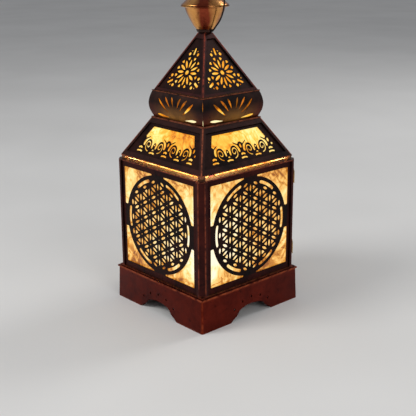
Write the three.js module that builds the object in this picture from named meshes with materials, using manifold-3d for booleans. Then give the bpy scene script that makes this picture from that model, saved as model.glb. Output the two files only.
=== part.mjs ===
// Square table lantern: pierced metal panels over amber glass, a hipped roof with a cornice and a spire,
// a spun finial with a bail ring, and a hinged door on the back.
// Millimetres, +Z up. The front faces -Y, the right side +X, the back with the door +Y, the left side -X.
import * as THREE from "three";
import { mergeVertices } from "three/addons/utils/BufferGeometryUtils.js";
import Module from "manifold-3d";

const wasm = await Module();
wasm.setup();

// Clearances and stock
const gap = 0.3;
const sheet = 1.0;
const fold = 0.9;
const strap = 0.8;
const pane = 2.0;
const roofPane = 1.5;

// Base
const bodyHalf = 65.0;
const skirtTopHalf = bodyHalf + 1.0;
const skirtFootHalf = skirtTopHalf + 1.0;
const skirtHeight = 33.0;
const skirtWall = 1.2;
const hemWidth = 6.0;
const archHalf = skirtTopHalf * 0.379;
const archSpring = 3.0;
const archSplay = 4.0;
const archHigh = 13.4;
const basePlateHalf = skirtTopHalf + 0.7;
const basePlateThick = 1.5;

// Body
const postLeg = 8.0;
const postChamfer = 5.0;
const panelLap = 2.2;
const uprightHigh = 5.7;
const headLedge = 3.2;
const windowSideBand = 12.55;
const windowFootBand = 6.6;
const windowHalfWide = bodyHalf - windowSideBand;
const windowHalfHigh = windowHalfWide - 1.75;

// Fretwork disc
const discRadius = windowHalfHigh - 0.6;
const bridgeHalfTop = discRadius * 0.178;
const bridgeHalfSide = discRadius * 0.2355;
const rimSlotOuter = discRadius * 0.928;
const rimSlotInner = discRadius * 0.864;
const rimSlotSweep = 14;
const latticeSide = 3;
const latticePitch = discRadius * 0.3114;
const petalLong = latticePitch * 0.55;
const petalWide = latticePitch * 0.18;
const rimPetalLong = latticePitch * 0.42;
const rimPetalWide = latticePitch * 0.205;

// Door and its fittings
const doorPlay = 0.6;
const doorRim = 1.5;
const doorInset = 0.4;
const hingeHigh = 12.0;
const hingeAway = 38.0;
const pinRadius = 0.8;
const knuckleBore = 1.1;
const knuckleRadius = 1.9;
const buttonHalf = 1.4;
const buttonArm = 8.0;
const buttonTail = 2.6;
const buttonThick = 1.2;
const buttonAbove = 22.0;
const rivetHole = 1.2;
const rivetRadius = 0.8;

// Candle
const canRadius = 19.1;
const cupRadius = canRadius + 2.7;
const cupHigh = 4.2;
const cupWall = 0.9;
const canHigh = 15.7;
const waxHigh = 11.4;
const wickHigh = 5.5;

// Roof, cornice and spire
const eaveHalf = bodyHalf - 3.9;
const lightSlot = 3.0;
const trayLedge = 11.0;
const trayLeg = 5.0;
const roofTopHalf = eaveHalf - 22.3;
const roofRise = 37.3;
const roofWindowTop = 35.7;
const roofWindowTopHalf = roofTopHalf - 8.5;
const scrollQuarter = roofTopHalf * 0.2423;
const seatThick = 1.5;
const seatHalf = roofTopHalf - 0.2;
const corniceFootHalf = roofTopHalf - 2.1;
const corniceBelly = 3.2;
const corniceLean = 0.8;
const corniceHigh = 25.0;
const capHalf = corniceFootHalf + corniceLean + 0.3;
const ringLedge = 5.0;
const fanInner = 12.8;
const linerHalf = corniceFootHalf - sheet - 0.4;
const rosetteUp = 22.7;
const rosettePetalIn = 4.2;
const rosettePetalOut = 13.6;
const rosettePetalWide = 3.7;
const rosetteEye = 2.9;

const spireFootHalf = capHalf - 1.4;
const spireTopHalf = 5.0;
const spireRise = 55.4;
const spirePaneRise = spireRise * 0.85;
const hipStrip = 3.8;
const ridgeStrip = 2.6;

// Finial and bail
const collarHigh = 3.1;
const collarFoot = 6.5;
const collarTop = 9.0;
const bowlHigh = 22.0;
const bowlFoot = 9.2;
const flangeRoot = 19.8;
const flangeRadius = 23.5;
const bowlWall = 0.9;
const domeHigh = 12.4;
const tipHigh = 10.5;
const bailHalfWide = 27.0;
const bailHalfHigh = 30.0;
const bailWire = 0.9;
const bailHole = 1.2;

// Heights that follow from the sizes above
const basePlateFoot = skirtHeight + gap;
const basePlateTop = basePlateFoot + basePlateThick;
const sillFoot = basePlateTop + gap;
const sillTop = sillFoot + sheet;
const panelFoot = sillTop + gap;
const windowCentre = panelFoot + windowFootBand + windowHalfHigh;
const bodyTop = windowCentre + windowHalfHigh + windowFootBand;
const headFoot = bodyTop - sheet;
const panelTop = headFoot - gap;
const trayFoot = bodyTop + lightSlot;
const trayTop = trayFoot + sheet;
const roofTop = trayTop + roofRise;
const seatFoot = roofTop + gap;
const seatTop = seatFoot + seatThick;
const corniceFoot = seatTop + gap;
const corniceTop = corniceFoot + corniceHigh;
const capFoot = corniceTop + gap;
const capTop = capFoot + sheet;
const spireTop = capTop + spireRise;
const collarBase = spireTop + gap;
const bowlBase = collarBase + collarHigh + gap;
const bowlRim = bowlBase + bowlHigh;
const domeBase = bowlRim + gap;
const domeTop = domeBase + domeHigh;
const bailPivot = collarBase + collarHigh / 2;

// Depths below the outer face of a wall
const panelOut = bodyHalf - fold - gap;
const glassOut = panelOut - sheet - gap;
const uprightOut = glassOut - pane - gap;
const doorGlassOut = bodyHalf - sheet - gap;
const doorBack = uprightOut + gap;

const deg = Math.PI / 180;
const part = new THREE.Group();

const finishes = {
  copper: [0x6b3322, 0.42, 0.9],
  darkCopper: [0x4d2419, 0.5, 0.85],
  brass: [0xb98a3c, 0.35, 0.95],
  iron: [0x1c1a1a, 0.5, 0.8],
  glass: [0xf0a640, 0.25, 0.0],
  aluminium: [0xc9cacc, 0.35, 1.0],
  wax: [0xf3ead8, 0.6, 0.0],
  wick: [0x2a221c, 0.9, 0.0],
};

function place(parent, name, geometry, finish, x = 0, y = 0, z = 0) {
  const [color, roughness, metalness] = finishes[finish];
  const mesh = new THREE.Mesh(geometry, new THREE.MeshStandardMaterial({ color, roughness, metalness }));
  mesh.name = name;
  mesh.position.set(x, y, z);
  parent.add(mesh);
  return mesh;
}

// A group for one side of the lantern: 0 front, 1 right, 2 back, 3 left.
function side(turns) {
  const group = new THREE.Group();
  group.rotation.z = turns * 90 * deg;
  part.add(group);
  return group;
}

// A group that leans back about its foot line, so a plate drawn upright in it follows a roof slope.
function slope(turns, footHalf, footZ, lean) {
  const group = new THREE.Group();
  group.position.set(0, -footHalf, footZ);
  group.rotation.x = -lean;
  side(turns).add(group);
  return group;
}

function facingOut(geometry) {
  const g = geometry.index ? geometry.toNonIndexed() : geometry;
  const p = g.getAttribute("position");
  const a = new THREE.Vector3();
  const b = new THREE.Vector3();
  const c = new THREE.Vector3();
  let volume = 0;
  for (let i = 0; i < p.count; i += 3) {
    a.fromBufferAttribute(p, i);
    b.fromBufferAttribute(p, i + 1);
    c.fromBufferAttribute(p, i + 2);
    volume += a.dot(b.cross(c));
  }
  if (volume < 0) {
    for (let i = 0; i < p.count; i += 3) {
      b.fromBufferAttribute(p, i + 1);
      c.fromBufferAttribute(p, i + 2);
      p.setXYZ(i + 1, c.x, c.y, c.z);
      p.setXYZ(i + 2, b.x, b.y, b.z);
    }
  }
  g.computeVertexNormals();
  return g;
}

function solid(geometry) {
  const g = facingOut(geometry);
  const bare = new THREE.BufferGeometry().setAttribute("position", g.getAttribute("position"));
  const merged = mergeVertices(bare, 1e-4);
  const vertProperties = merged.attributes.position.array;
  const triVerts = new Uint32Array(merged.index.array);
  return new wasm.Manifold(new wasm.Mesh({ numProp: 3, vertProperties, triVerts }));
}

function surface(body) {
  const m = body.getMesh();
  const v = new Float32Array(m.numVert * 3);
  for (let i = 0; i < m.numVert; i++) {
    const at = i * m.numProp;
    v.set(m.vertProperties.subarray(at, at + 3), i * 3);
  }
  const g = new THREE.BufferGeometry();
  g.setAttribute("position", new THREE.BufferAttribute(v, 3));
  g.setIndex(new THREE.BufferAttribute(new Uint32Array(m.triVerts), 1));
  return facingOut(g);
}

function cut(geometry, tools) {
  let body = solid(geometry);
  for (const tool of tools) body = body.subtract(solid(tool));
  return surface(body);
}

function join(geometry, others) {
  let body = solid(geometry);
  for (const other of others) body = body.add(solid(other));
  return surface(body);
}

function shapeOf(outline, holes = []) {
  const shape = new THREE.Shape(outline.map(([x, y]) => new THREE.Vector2(x, y)));
  for (const hole of holes) shape.holes.push(new THREE.Path(hole.map(([x, y]) => new THREE.Vector2(x, y))));
  return shape;
}

// Horizontal sheet: drawn in plan, rising from z = 0. It is triangulated while turned by an odd angle,
// so that no two openings line up exactly, and then turned back.
const oddTurn = 7.3 * deg;
function slab(outline, holes, thick) {
  const c = Math.cos(oddTurn);
  const s = Math.sin(oddTurn);
  const turn = (points) => points.map(([x, y]) => [c * x - s * y, s * x + c * y]);
  const shape = shapeOf(turn(outline), holes.map(turn));
  const g = new THREE.ExtrudeGeometry(shape, { depth: thick, bevelEnabled: false, steps: 1 });
  return g.rotateZ(-oddTurn);
}

// Upright sheet: drawn in elevation, its inner face at y = 0 and its outer face at y = -thick.
function plate(outline, holes, thick) {
  const g = slab(outline, holes, thick);
  g.rotateX(90 * deg);
  return g;
}

function square(half) {
  return [[-half, -half], [half, -half], [half, half], [-half, half]];
}

function rect(x0, x1, y0, y1) {
  return [[x0, y0], [x1, y0], [x1, y1], [x0, y1]];
}

function arc(cx, cy, radius, from, to, steps) {
  const points = [];
  for (let i = 0; i <= steps; i++) {
    const a = (from + ((to - from) * i) / steps) * deg;
    points.push([cx + radius * Math.cos(a), cy + radius * Math.sin(a)]);
  }
  return points;
}

function ringOf(cx, cy, radius, corners, turn = 0) {
  return arc(cx, cy, radius, turn, turn + 360, corners).slice(0, corners);
}

function mirrorX(points) {
  return points.map(([x, y]) => [-x, y]).reverse();
}

function mirrorY(points) {
  return points.map(([x, y]) => [x, -y]).reverse();
}

function mesh(points, triangles) {
  const g = new THREE.BufferGeometry();
  g.setAttribute("position", new THREE.BufferAttribute(new Float32Array(points.flat()), 3));
  g.setIndex(triangles.flat());
  return facingOut(g);
}

// A closed section of [half width, height] pairs carried round the four sides of a square.
function squareRing(section) {
  const corners = [[1, -1], [1, 1], [-1, 1], [-1, -1]];
  const n = section.length;
  const points = corners.flatMap(([sx, sy]) => section.map(([half, z]) => [sx * half, sy * half, z]));
  const triangles = [];
  for (let c = 0; c < 4; c++) {
    for (let i = 0; i < n; i++) {
      const a = c * n + i;
      const b = c * n + ((i + 1) % n);
      const d = ((c + 1) % 4) * n + i;
      const e = ((c + 1) % 4) * n + ((i + 1) % n);
      triangles.push([a, b, e], [a, e, d]);
    }
  }
  return mesh(points, triangles);
}

// A closed section of [distance out, height] pairs run along one side and mitred at both ends.
function mitredStrip(section, mitre) {
  const n = section.length;
  const left = section.map(([out, z]) => [mitre - out, -out, z]);
  const right = section.map(([out, z]) => [out - mitre, -out, z]);
  const contour = section.map(([out, z]) => new THREE.Vector2(out, z));
  const caps = THREE.ShapeUtils.triangulateShape(contour, []);
  const triangles = [];
  for (let i = 0; i < n; i++) {
    const j = (i + 1) % n;
    triangles.push([i, j, n + j], [i, n + j, n + i]);
  }
  const turned = THREE.ShapeUtils.isClockWise(contour);
  for (const [a, b, c] of caps) {
    triangles.push(turned ? [a, b, c] : [c, b, a]);
    triangles.push(turned ? [n + c, n + b, n + a] : [n + a, n + b, n + c]);
  }
  return mesh([...left, ...right], triangles);
}

function turned(profile, corners) {
  return facingOut(new THREE.LatheGeometry(profile.map(([r, z]) => new THREE.Vector2(r, z)), corners));
}

// Turned about the upright axis: the lathe turns about Y, so it is stood up.
function turnedUp(profile, corners = 20) {
  const g = turned(profile, corners);
  g.rotateX(90 * deg);
  return g;
}

// Turned about an axis that points outward from the front face.
function turnedOut(profile, corners = 12) {
  const g = turned(profile, corners);
  g.rotateX(180 * deg);
  return g;
}

// Base skirt: slightly flared walls with a folded hem, and in each side one low arch whose feet splay
{
  const wall = [
    [skirtFootHalf, 0],
    [skirtTopHalf, skirtHeight],
    [skirtTopHalf - skirtWall, skirtHeight],
    [skirtFootHalf - skirtWall, skirtWall],
    [skirtFootHalf - hemWidth, skirtWall],
    [skirtFootHalf - hemWidth, 0],
  ];
  const archEdge = [
    [-archHalf - archSplay, -1],
    [archHalf + archSplay, -1],
    [archHalf, archSpring],
    [archHalf * 0.8, archSpring + 2.6],
    [archHalf * 0.72, archSpring + 5.0],
    [archHalf * 0.56, archHigh - 2.6],
    [archHalf * 0.3, archHigh - 0.7],
    [0, archHigh],
    [-archHalf * 0.3, archHigh - 0.7],
    [-archHalf * 0.56, archHigh - 2.6],
    [-archHalf * 0.72, archSpring + 5.0],
    [-archHalf * 0.8, archSpring + 2.6],
    [-archHalf, archSpring],
  ];
  const through = 2 * skirtFootHalf + 4;
  const tunnel = plate(archEdge, [], through).translate(0, through / 2, 0);
  const across = tunnel.clone().rotateZ(90 * deg);
  place(part, "base_skirt", cut(squareRing(wall), [tunnel, across]), "copper");
}
place(part, "base_plate", slab(square(basePlateHalf), [], basePlateThick), "copper", 0, 0, basePlateFoot);

// Candle
{
  const cup = [
    [0, 0],
    [cupRadius - cupWall, 0],
    [cupRadius, cupHigh],
    [cupRadius - cupWall, cupHigh],
    [cupRadius - 2 * cupWall, cupWall],
    [0, cupWall],
  ];
  const cupFloor = sillFoot + cupWall;
  place(part, "candle_cup", turnedUp(cup), "brass", 0, 0, sillFoot);
  const canFoot = cupFloor + gap;
  const can = [
    [0, 0],
    [canRadius - 0.3, 0],
    [canRadius, canHigh],
    [canRadius - 0.5, canHigh],
    [canRadius - 0.8, 0.5],
    [0, 0.5],
  ];
  place(part, "tealight_can", turnedUp(can), "aluminium", 0, 0, canFoot);
  const waxFoot = canFoot + 0.5 + gap;
  const waxRadius = canRadius - 0.8 - gap;
  const wellRadius = 1.1;
  const wellFloor = waxHigh - 5;
  const wax = [
    [0, 0],
    [waxRadius, 0],
    [waxRadius, waxHigh],
    [wellRadius, waxHigh - 0.8],
    [wellRadius, wellFloor],
    [0, wellFloor],
  ];
  place(part, "tealight_wax", turnedUp(wax), "wax", 0, 0, waxFoot);
  const wick = [
    [0, 0],
    [wellRadius - gap, 0],
    [wellRadius - gap, 5 + wickHigh],
    [0, 5 + wickHigh],
  ];
  place(part, "tealight_wick", turnedUp(wick, 8), "wick", 0, 0, waxFoot + wellFloor + gap);
}

// Sill and head: square rings of folded sheet with an upright flange that backs the panes.
// The head's corners are cut back flush with the chamfer of the posts.
const uprightIn = uprightOut - sheet;
place(
  part,
  "body_sill",
  squareRing([
    [bodyHalf - 0.2, sillFoot],
    [bodyHalf - 0.2, sillTop],
    [uprightOut, sillTop],
    [uprightOut, sillTop + uprightHigh],
    [uprightIn, sillTop + uprightHigh],
    [uprightIn, sillFoot],
  ]),
  "copper",
);
{
  const ring = squareRing([
    [bodyHalf, headFoot],
    [bodyHalf, bodyTop],
    [uprightIn - headLedge, bodyTop],
    [uprightIn - headLedge, headFoot],
    [uprightIn, headFoot],
    [uprightIn, headFoot - uprightHigh + 1],
    [uprightOut, headFoot - uprightHigh + 1],
    [uprightOut, headFoot],
  ]);
  const toCorner = (2 * bodyHalf - postChamfer) / Math.SQRT2 + postLeg;
  const corners = [45, 135, 225, 315].map((turn) => {
    const block = slab(square(postLeg), [], bodyTop).translate(toCorner, 0, sheet);
    return block.rotateZ(turn * deg);
  });
  place(part, "body_head", cut(ring, corners), "copper");
}

// Corner posts: folded angle with a chamfered corner; drawn for the front right corner
const postHigh = panelTop - panelFoot;
const postInner = postChamfer + fold * (Math.SQRT2 - 1);
const postSection = [
  [bodyHalf - postLeg, -bodyHalf],
  [bodyHalf - postChamfer, -bodyHalf],
  [bodyHalf, postChamfer - bodyHalf],
  [bodyHalf, postLeg - bodyHalf],
  [bodyHalf - fold, postLeg - bodyHalf],
  [bodyHalf - fold, postInner - bodyHalf],
  [bodyHalf - postInner, fold - bodyHalf],
  [bodyHalf - postLeg, fold - bodyHalf],
];
const latchX = bodyHalf - (postLeg + postChamfer) / 2;
const latchZ = windowCentre + buttonAbove;
["front_right", "back_right", "back_left", "front_left"].forEach((corner, turns) => {
  let post = slab(postSection, [], postHigh);
  if (corner === "back_left") {
    const drill = plate(ringOf(latchX, latchZ - panelFoot, rivetHole, 12), [], 4);
    post = cut(post, [drill.translate(0, 2 - bodyHalf, 0)]);
  }
  place(side(turns), "corner_post_" + corner, post, "darkCopper", 0, 0, panelFoot);
});

// Openings of the fretwork disc, measured from the centre of the window
function discOpenings() {
  const holes = [];
  const low = Math.asin(bridgeHalfSide / discRadius) / deg;
  const high = Math.acos(bridgeHalfTop / discRadius) / deg;
  const spandrel = [
    [bridgeHalfTop, windowHalfHigh],
    ...arc(0, 0, discRadius, high, low, 5),
    [windowHalfWide, bridgeHalfSide],
    [windowHalfWide, windowHalfHigh],
  ];
  holes.push(spandrel, mirrorX(spandrel), mirrorY(spandrel), mirrorX(mirrorY(spandrel)));
  for (let k = 0; k < 6; k++) {
    const mid = 60 * k;
    holes.push([
      ...arc(0, 0, rimSlotOuter, mid - rimSlotSweep, mid + rimSlotSweep, 3),
      ...arc(0, 0, rimSlotInner, mid + rimSlotSweep, mid - rimSlotSweep, 3),
    ]);
  }
  return [...holes, ...latticePetals()];
}

// A slot that narrows to a point at both ends.
function petal(x, y, long, wide, turn) {
  const c = Math.cos(turn * deg);
  const s = Math.sin(turn * deg);
  return [
    [x - (c * long) / 2, y - (s * long) / 2],
    [x + (s * wide) / 2, y - (c * wide) / 2],
    [x + (c * long) / 2, y + (s * long) / 2],
    [x - (s * wide) / 2, y + (c * wide) / 2],
  ];
}

// One petal on each edge between neighbouring nodes of a six-sided lattice that stands on a corner.
function latticePetals() {
  const column = latticePitch * Math.cos(30 * deg);
  const reach = (i, j) => Math.max(Math.abs(i), Math.abs(j), Math.abs(i + j));
  const petals = [];
  for (let i = -latticeSide; i <= latticeSide; i++) {
    for (let j = -latticeSide; j <= latticeSide; j++) {
      for (const [di, dj, turn] of [[0, 1, 90], [1, 0, 30], [1, -1, -30]]) {
        if (Math.max(reach(i, j), reach(i + di, j + dj)) > latticeSide) continue;
        const rim = Math.min(reach(i, j), reach(i + di, j + dj)) === latticeSide;
        const x = column * (i + di / 2);
        const y = latticePitch * (j + dj / 2 + (i + di / 2) / 2);
        petals.push(petal(x, y, rim ? rimPetalLong : petalLong, rim ? rimPetalWide : petalWide, turn));
      }
    }
  }
  return petals;
}

// Fixed panels and panes on the front, right and left
const panelHalf = bodyHalf - postLeg + panelLap;
const paneHalf = panelHalf - 1.2;
[["front", 0], ["right", 1], ["left", 3]].forEach(([name, turns]) => {
  const wall = side(turns);
  const outline = rect(-panelHalf, panelHalf, panelFoot - windowCentre, panelTop - windowCentre);
  const pierced = plate(outline, discOpenings(), sheet);
  place(wall, name + "_panel", pierced, "copper", 0, sheet - panelOut, windowCentre);
  const glass = plate(rect(-paneHalf, paneHalf, panelFoot, panelTop), [], pane);
  place(wall, name + "_glass", glass, "glass", 0, pane - glassOut, 0);
});

// Door on the back: leaf, rim, pane and the two strips that hold the pane
const doorHalf = bodyHalf - postLeg - doorPlay;
const doorFoot = sillTop + doorPlay;
const doorTop = headFoot - doorPlay;
const back = side(2);
{
  const outline = rect(-doorHalf, doorHalf, doorFoot - windowCentre, doorTop - windowCentre);
  const pierced = plate(outline, discOpenings(), sheet);
  place(back, "door_panel", pierced, "copper", 0, sheet - bodyHalf, windowCentre);
  const rimHalf = doorHalf - doorInset;
  const rimIn = rimHalf - doorRim;
  const rimFoot = doorFoot + doorInset;
  const rimTop = doorTop - doorInset;
  const rimDeep = doorGlassOut - doorBack;
  const rim = plate(
    rect(-rimHalf, rimHalf, rimFoot, rimTop),
    [rect(-rimIn, rimIn, rimFoot + doorRim, rimTop - doorRim)],
    rimDeep,
  );
  place(back, "door_frame", rim, "darkCopper", 0, -doorBack, 0);
  const paneIn = rimIn - gap;
  const paneFoot = rimFoot + doorRim + gap;
  const paneTop = rimTop - doorRim - gap;
  const glass = plate(rect(-paneIn, paneIn, paneFoot, paneTop), [], pane);
  place(back, "door_glass", glass, "glass", 0, pane - doorGlassOut, 0);
  const stripDeep = rimDeep - pane - gap;
  const stripHigh = 4.0;
  const upper = plate(rect(-paneIn, paneIn, paneTop - stripHigh, paneTop), [], stripDeep);
  const lower = plate(rect(-paneIn, paneIn, paneFoot, paneFoot + stripHigh), [], stripDeep);
  place(back, "door_glass_strip_upper", upper, "brass", 0, -doorBack, 0);
  place(back, "door_glass_strip_lower", lower, "brass", 0, -doorBack, 0);
}

// Hinges on the edge of the door that is on the left when the back is looked at
const hingeX = -(doorHalf + doorPlay / 2);
const hingeY = -(bodyHalf + gap + knuckleRadius);
{
  const leafIn = -(bodyHalf + gap);
  const leafOut = leafIn - strap;
  const bore = ringOf(hingeX, hingeY, knuckleBore, 12);
  const rise = Math.asin((leafOut - hingeY) / knuckleRadius) / deg;
  const knuckle = arc(hingeX, hingeY, knuckleRadius, 90, -180 - rise, 12);
  const foldX = -(bodyHalf - postChamfer);
  const easeIn = gap * Math.tan(22.5 * deg);
  const easeOut = (gap + strap) * Math.tan(22.5 * deg);
  const wrap = 3.2;
  const endIn = [foldX - easeIn - wrap, leafIn + wrap];
  const endOut = [endIn[0] - strap * Math.SQRT1_2, endIn[1] - strap * Math.SQRT1_2];
  const postLeaf = [endIn, [foldX - easeIn, leafIn], ...knuckle, [foldX - easeOut, leafOut], endOut];
  const doorLeafEnd = -(windowHalfWide + 0.5);
  const mirroredKnuckle = knuckle.map(([x, y]) => [2 * hingeX - x, y]);
  const doorLeaf = [[doorLeafEnd, leafIn], ...mirroredKnuckle, [doorLeafEnd, leafOut]];
  const third = hingeHigh / 3;
  const reach = knuckleRadius + gap;
  const gapTool = (from, to) =>
    slab(rect(hingeX - reach, hingeX + reach, hingeY - reach, -bodyHalf), [], to - from).translate(0, 0, from);
  [["upper", 1], ["lower", -1]].forEach(([name, sign]) => {
    const foot = windowCentre + sign * hingeAway - hingeHigh / 2;
    const fixed = cut(slab(postLeaf, [bore], hingeHigh), [gapTool(third - gap / 2, 2 * third + gap / 2)]);
    const moving = cut(slab(doorLeaf, [bore], hingeHigh), [
      gapTool(-1, third + gap / 2),
      gapTool(2 * third - gap / 2, hingeHigh + 1),
    ]);
    place(back, "hinge_" + name + "_post_leaf", fixed, "brass", 0, 0, foot);
    place(back, "hinge_" + name + "_door_leaf", moving, "brass", 0, 0, foot);
    const headRadius = knuckleBore + 0.5;
    const pin = [
      [0, -1],
      [pinRadius, -1],
      [pinRadius, hingeHigh + gap],
      [headRadius, hingeHigh + gap],
      [headRadius, hingeHigh + gap + 1],
      [0, hingeHigh + gap + 1],
    ];
    place(back, "hinge_" + name + "_pin", turnedUp(pin, 12), "brass", hingeX, hingeY, foot);
  });
}

// Turn button on the post beside the free edge of the door: its arm hangs clear of the door
{
  const round = arc(0, 0, buttonHalf, 0, 180, 6);
  const outline = [[-buttonHalf, -buttonArm], [buttonHalf, -buttonArm], ...round];
  const eye = ringOf(0, 0, rivetRadius + gap, 12);
  const button = plate(outline, [eye], buttonThick);
  place(back, "latch_button", button, "brass", latchX, -(bodyHalf + gap), latchZ);
  const inner = fold + gap;
  const outer = gap + buttonThick + gap;
  const rivet = [
    [0, -inner - 0.6],
    [1.6, -inner - 0.6],
    [1.6, -inner],
    [rivetRadius, -inner],
    [rivetRadius, outer],
    [1.9, outer],
    [1.3, outer + 0.9],
    [0, outer + 0.9],
  ];
  place(back, "latch_rivet", turnedOut(rivet), "brass", latchX, -bodyHalf, latchZ);
  const knob = [
    [0, gap],
    [1.9, gap],
    [1.9, gap + 0.6],
    [1.1, gap + 1.0],
    [1.1, gap + 2.0],
    [2.3, gap + 2.8],
    [2.6, gap + 3.7],
    [1.8, gap + 4.3],
    [0, gap + 4.5],
  ];
  const knobX = (windowHalfWide + doorHalf) / 2;
  place(back, "door_knob", turnedOut(knob), "brass", knobX, -bodyHalf, windowCentre);
}

// Roof tray: flat ring on four corner legs that hold the roof above the body
{
  const ring = slab(square(eaveHalf), [square(eaveHalf - trayLedge)], sheet).translate(0, 0, trayFoot);
  const legFoot = bodyTop + gap;
  const legs = [[1, -1], [1, 1], [-1, 1], [-1, -1]].map(([sx, sy]) => {
    const middle = eaveHalf - 0.4 - trayLeg / 2;
    const leg = slab(square(trayLeg / 2), [], trayFoot - legFoot + sheet / 2);
    return leg.translate(sx * middle, sy * middle, legFoot);
  });
  place(part, "eave_tray", join(ring, legs), "darkCopper");
}

// Layers of a sloping roof: how far each lies below the outer surface
const faceIn = strap + gap;
const faceDeep = faceIn + sheet;
const glassIn = faceDeep + gap;
const glassDeep = glassIn + roofPane;

// Openings of a roof face: a window whose lower edge is a row of scrolls with a leaf or a bud between them,
// a curl inside each scroll, and two rows of dashes. The four scrolls lie one and three quarters off centre.
function scrollBorder(top, topHalf, narrowing, quarter) {
  const bump = quarter * 0.574;
  const middle = 17.4;
  const crown = (x) => arc(x, middle, bump, 180, 0, 5);
  const sideHalf = (h) => topHalf + (top - h) * narrowing;
  const lower = [
    [0, 25.1],
    [2.6, 24.0],
    [3.1, 22.4],
    [2.0, 19.6],
    [2.0, 15.6],
    [3.6, 15.6],
    ...crown(quarter),
    [quarter + bump + 0.3, 13.4],
    [2 * quarter - 1.7, 13.4],
    [2 * quarter - 1.5, 17.8],
    [2 * quarter, 19.7],
    [2 * quarter + 1.5, 17.8],
    [2 * quarter + 1.7, 13.4],
    [3 * quarter - bump - 0.3, 13.4],
    ...crown(3 * quarter),
    [4 * quarter - 3.7, 15.6],
    [4 * quarter - 2.0, 15.6],
    [4 * quarter - 2.0, 19.0],
    [sideHalf(22.4), 22.4],
  ];
  const window = [...lower, [topHalf, top], [-topHalf, top], ...mirrorX(lower.slice(1))];
  const curl = (x, facing) => {
    const outer = [];
    const inner = [];
    for (let i = 0; i <= 4; i++) {
      const t = (i / 4) * 250 - 100;
      const c = Math.cos(t * deg) * facing;
      const h = Math.sin(t * deg);
      outer.push([x + c * 3.9, middle - 0.8 + h * 3.9]);
      inner.unshift([x + c * 2.2, middle - 0.8 + h * 2.2]);
    }
    return [...outer, ...inner];
  };
  const curls = [curl(quarter, 1), curl(3 * quarter, -1), curl(-quarter, -1), curl(-3 * quarter, 1)];
  const dash = (x, h, wide, high) => [[x - wide / 2, h - high / 2], [x + wide / 2, h - high / 2],
    [x + wide * 0.42, h + high / 2], [x - wide * 0.42, h + high / 2]];
  const dashes = [-4, -2, 0, 2, 4].map((k) => dash(k * quarter, 9.0, 9.1, 2.2));
  dashes.push(...[-4, 0, 4].map((k) => dash(k * quarter, 12.7, 6.0, 2.4)));
  return [window, ...curls, ...dashes];
}

// Roof: hip frame, pierced faces and panes
const roofLean = Math.atan2(eaveHalf - roofTopHalf, roofRise);
const roofSlant = Math.hypot(eaveHalf - roofTopHalf, roofRise);
const roofNarrowing = Math.sin(roofLean);
{
  const footHalf = eaveHalf - gap * Math.tan(roofLean);
  const wall = strap / Math.cos(roofLean);
  const shell = squareRing([
    [footHalf, trayTop + gap],
    [roofTopHalf, roofTop],
    [roofTopHalf - wall, roofTop],
    [footHalf - wall, trayTop + gap],
  ]);
  const half = (h) => eaveHalf - roofNarrowing * h;
  const low = 5.0;
  const high = roofSlant - 4.6;
  const opening = [
    [-(half(low) - hipStrip), low],
    [half(low) - hipStrip, low],
    [half(high) - hipStrip, high],
    [-(half(high) - hipStrip), high],
  ];
  const tools = [0, 1, 2, 3].map((turns) => {
    const tool = plate(opening, [], 6).translate(0, 3, 0);
    tool.rotateX(-roofLean).translate(0, -eaveHalf, trayTop).rotateZ(turns * 90 * deg);
    return tool;
  });
  place(part, "roof_frame", cut(shell, tools), "copper");
  ["front", "right", "back", "left"].forEach((name, turns) => {
    const face = slope(turns, eaveHalf, trayTop, roofLean);
    const edge = (inset, from, to) => [
      [-(half(from) - inset), from],
      [half(from) - inset, from],
      [half(to) - inset, to],
      [-(half(to) - inset), to],
    ];
    const foot = (deep) => (gap + deep * Math.sin(roofLean)) / Math.cos(roofLean);
    const inset = (deep) => deep * Math.cos(roofLean) + gap;
    const openings = scrollBorder(roofWindowTop, roofWindowTopHalf, roofNarrowing, scrollQuarter);
    const pierced = plate(edge(inset(faceDeep), foot(faceDeep), roofSlant), openings, sheet);
    place(face, "roof_face_" + name, pierced, "copper", 0, faceDeep, 0);
    const glass = plate(edge(inset(glassDeep), foot(glassDeep), roofSlant), [], roofPane);
    place(face, "roof_glass_" + name, glass, "glass", 0, glassDeep, 0);
  });
}

// Cornice: seat ring, four bulging faces mitred at the corners, a square glass liner behind them,
// and cap ring
{
  const seat = slab(square(seatHalf), [square(seatHalf - ringLedge)], seatThick);
  place(part, "cornice_seat", seat, "darkCopper", 0, 0, seatFoot);
  const steps = 5;
  const outer = [];
  const inner = [];
  for (let i = 0; i <= steps; i++) {
    const t = i / steps;
    const out = corniceFootHalf + corniceLean * t + corniceBelly * 4 * t * (1 - t);
    outer.push([out, corniceFoot + corniceHigh * t]);
    inner.unshift([out - sheet, corniceFoot + corniceHigh * t]);
  }
  const blades = [15, 36, 57, 84].flatMap((lean) => {
    const reach = Math.min(corniceFootHalf * 0.75 / Math.cos((90 - lean) * deg), 21.5 / Math.cos(lean * deg));
    const along = (r, off) => [
      r * Math.sin(lean * deg) + off * Math.cos(lean * deg),
      corniceFoot + 0.8 + r * Math.cos(lean * deg) - off * Math.sin(lean * deg),
    ];
    const blade = [along(fanInner, 0.7), along(fanInner, -0.7), along(reach * 0.72, -1.5), along(reach, -0.9),
      along(reach * 0.86, 1.5)];
    return [blade, mirrorX(blade)];
  });
  const tools = blades.map((blade) => plate(blade, [], 10).translate(0, 4 - corniceFootHalf, 0));
  ["front", "right", "back", "left"].forEach((name, turns) => {
    const face = cut(mitredStrip([...outer, ...inner], gap), tools);
    place(side(turns), "cornice_face_" + name, face, "copper");
  });
  const liner = slab(square(linerHalf), [square(linerHalf - roofPane)], corniceHigh);
  place(part, "cornice_glass", liner, "glass", 0, 0, corniceFoot);
  const cap = slab(square(capHalf), [square(capHalf - ringLedge)], sheet);
  place(part, "cornice_cap", cap, "darkCopper", 0, 0, capFoot);
}

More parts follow.
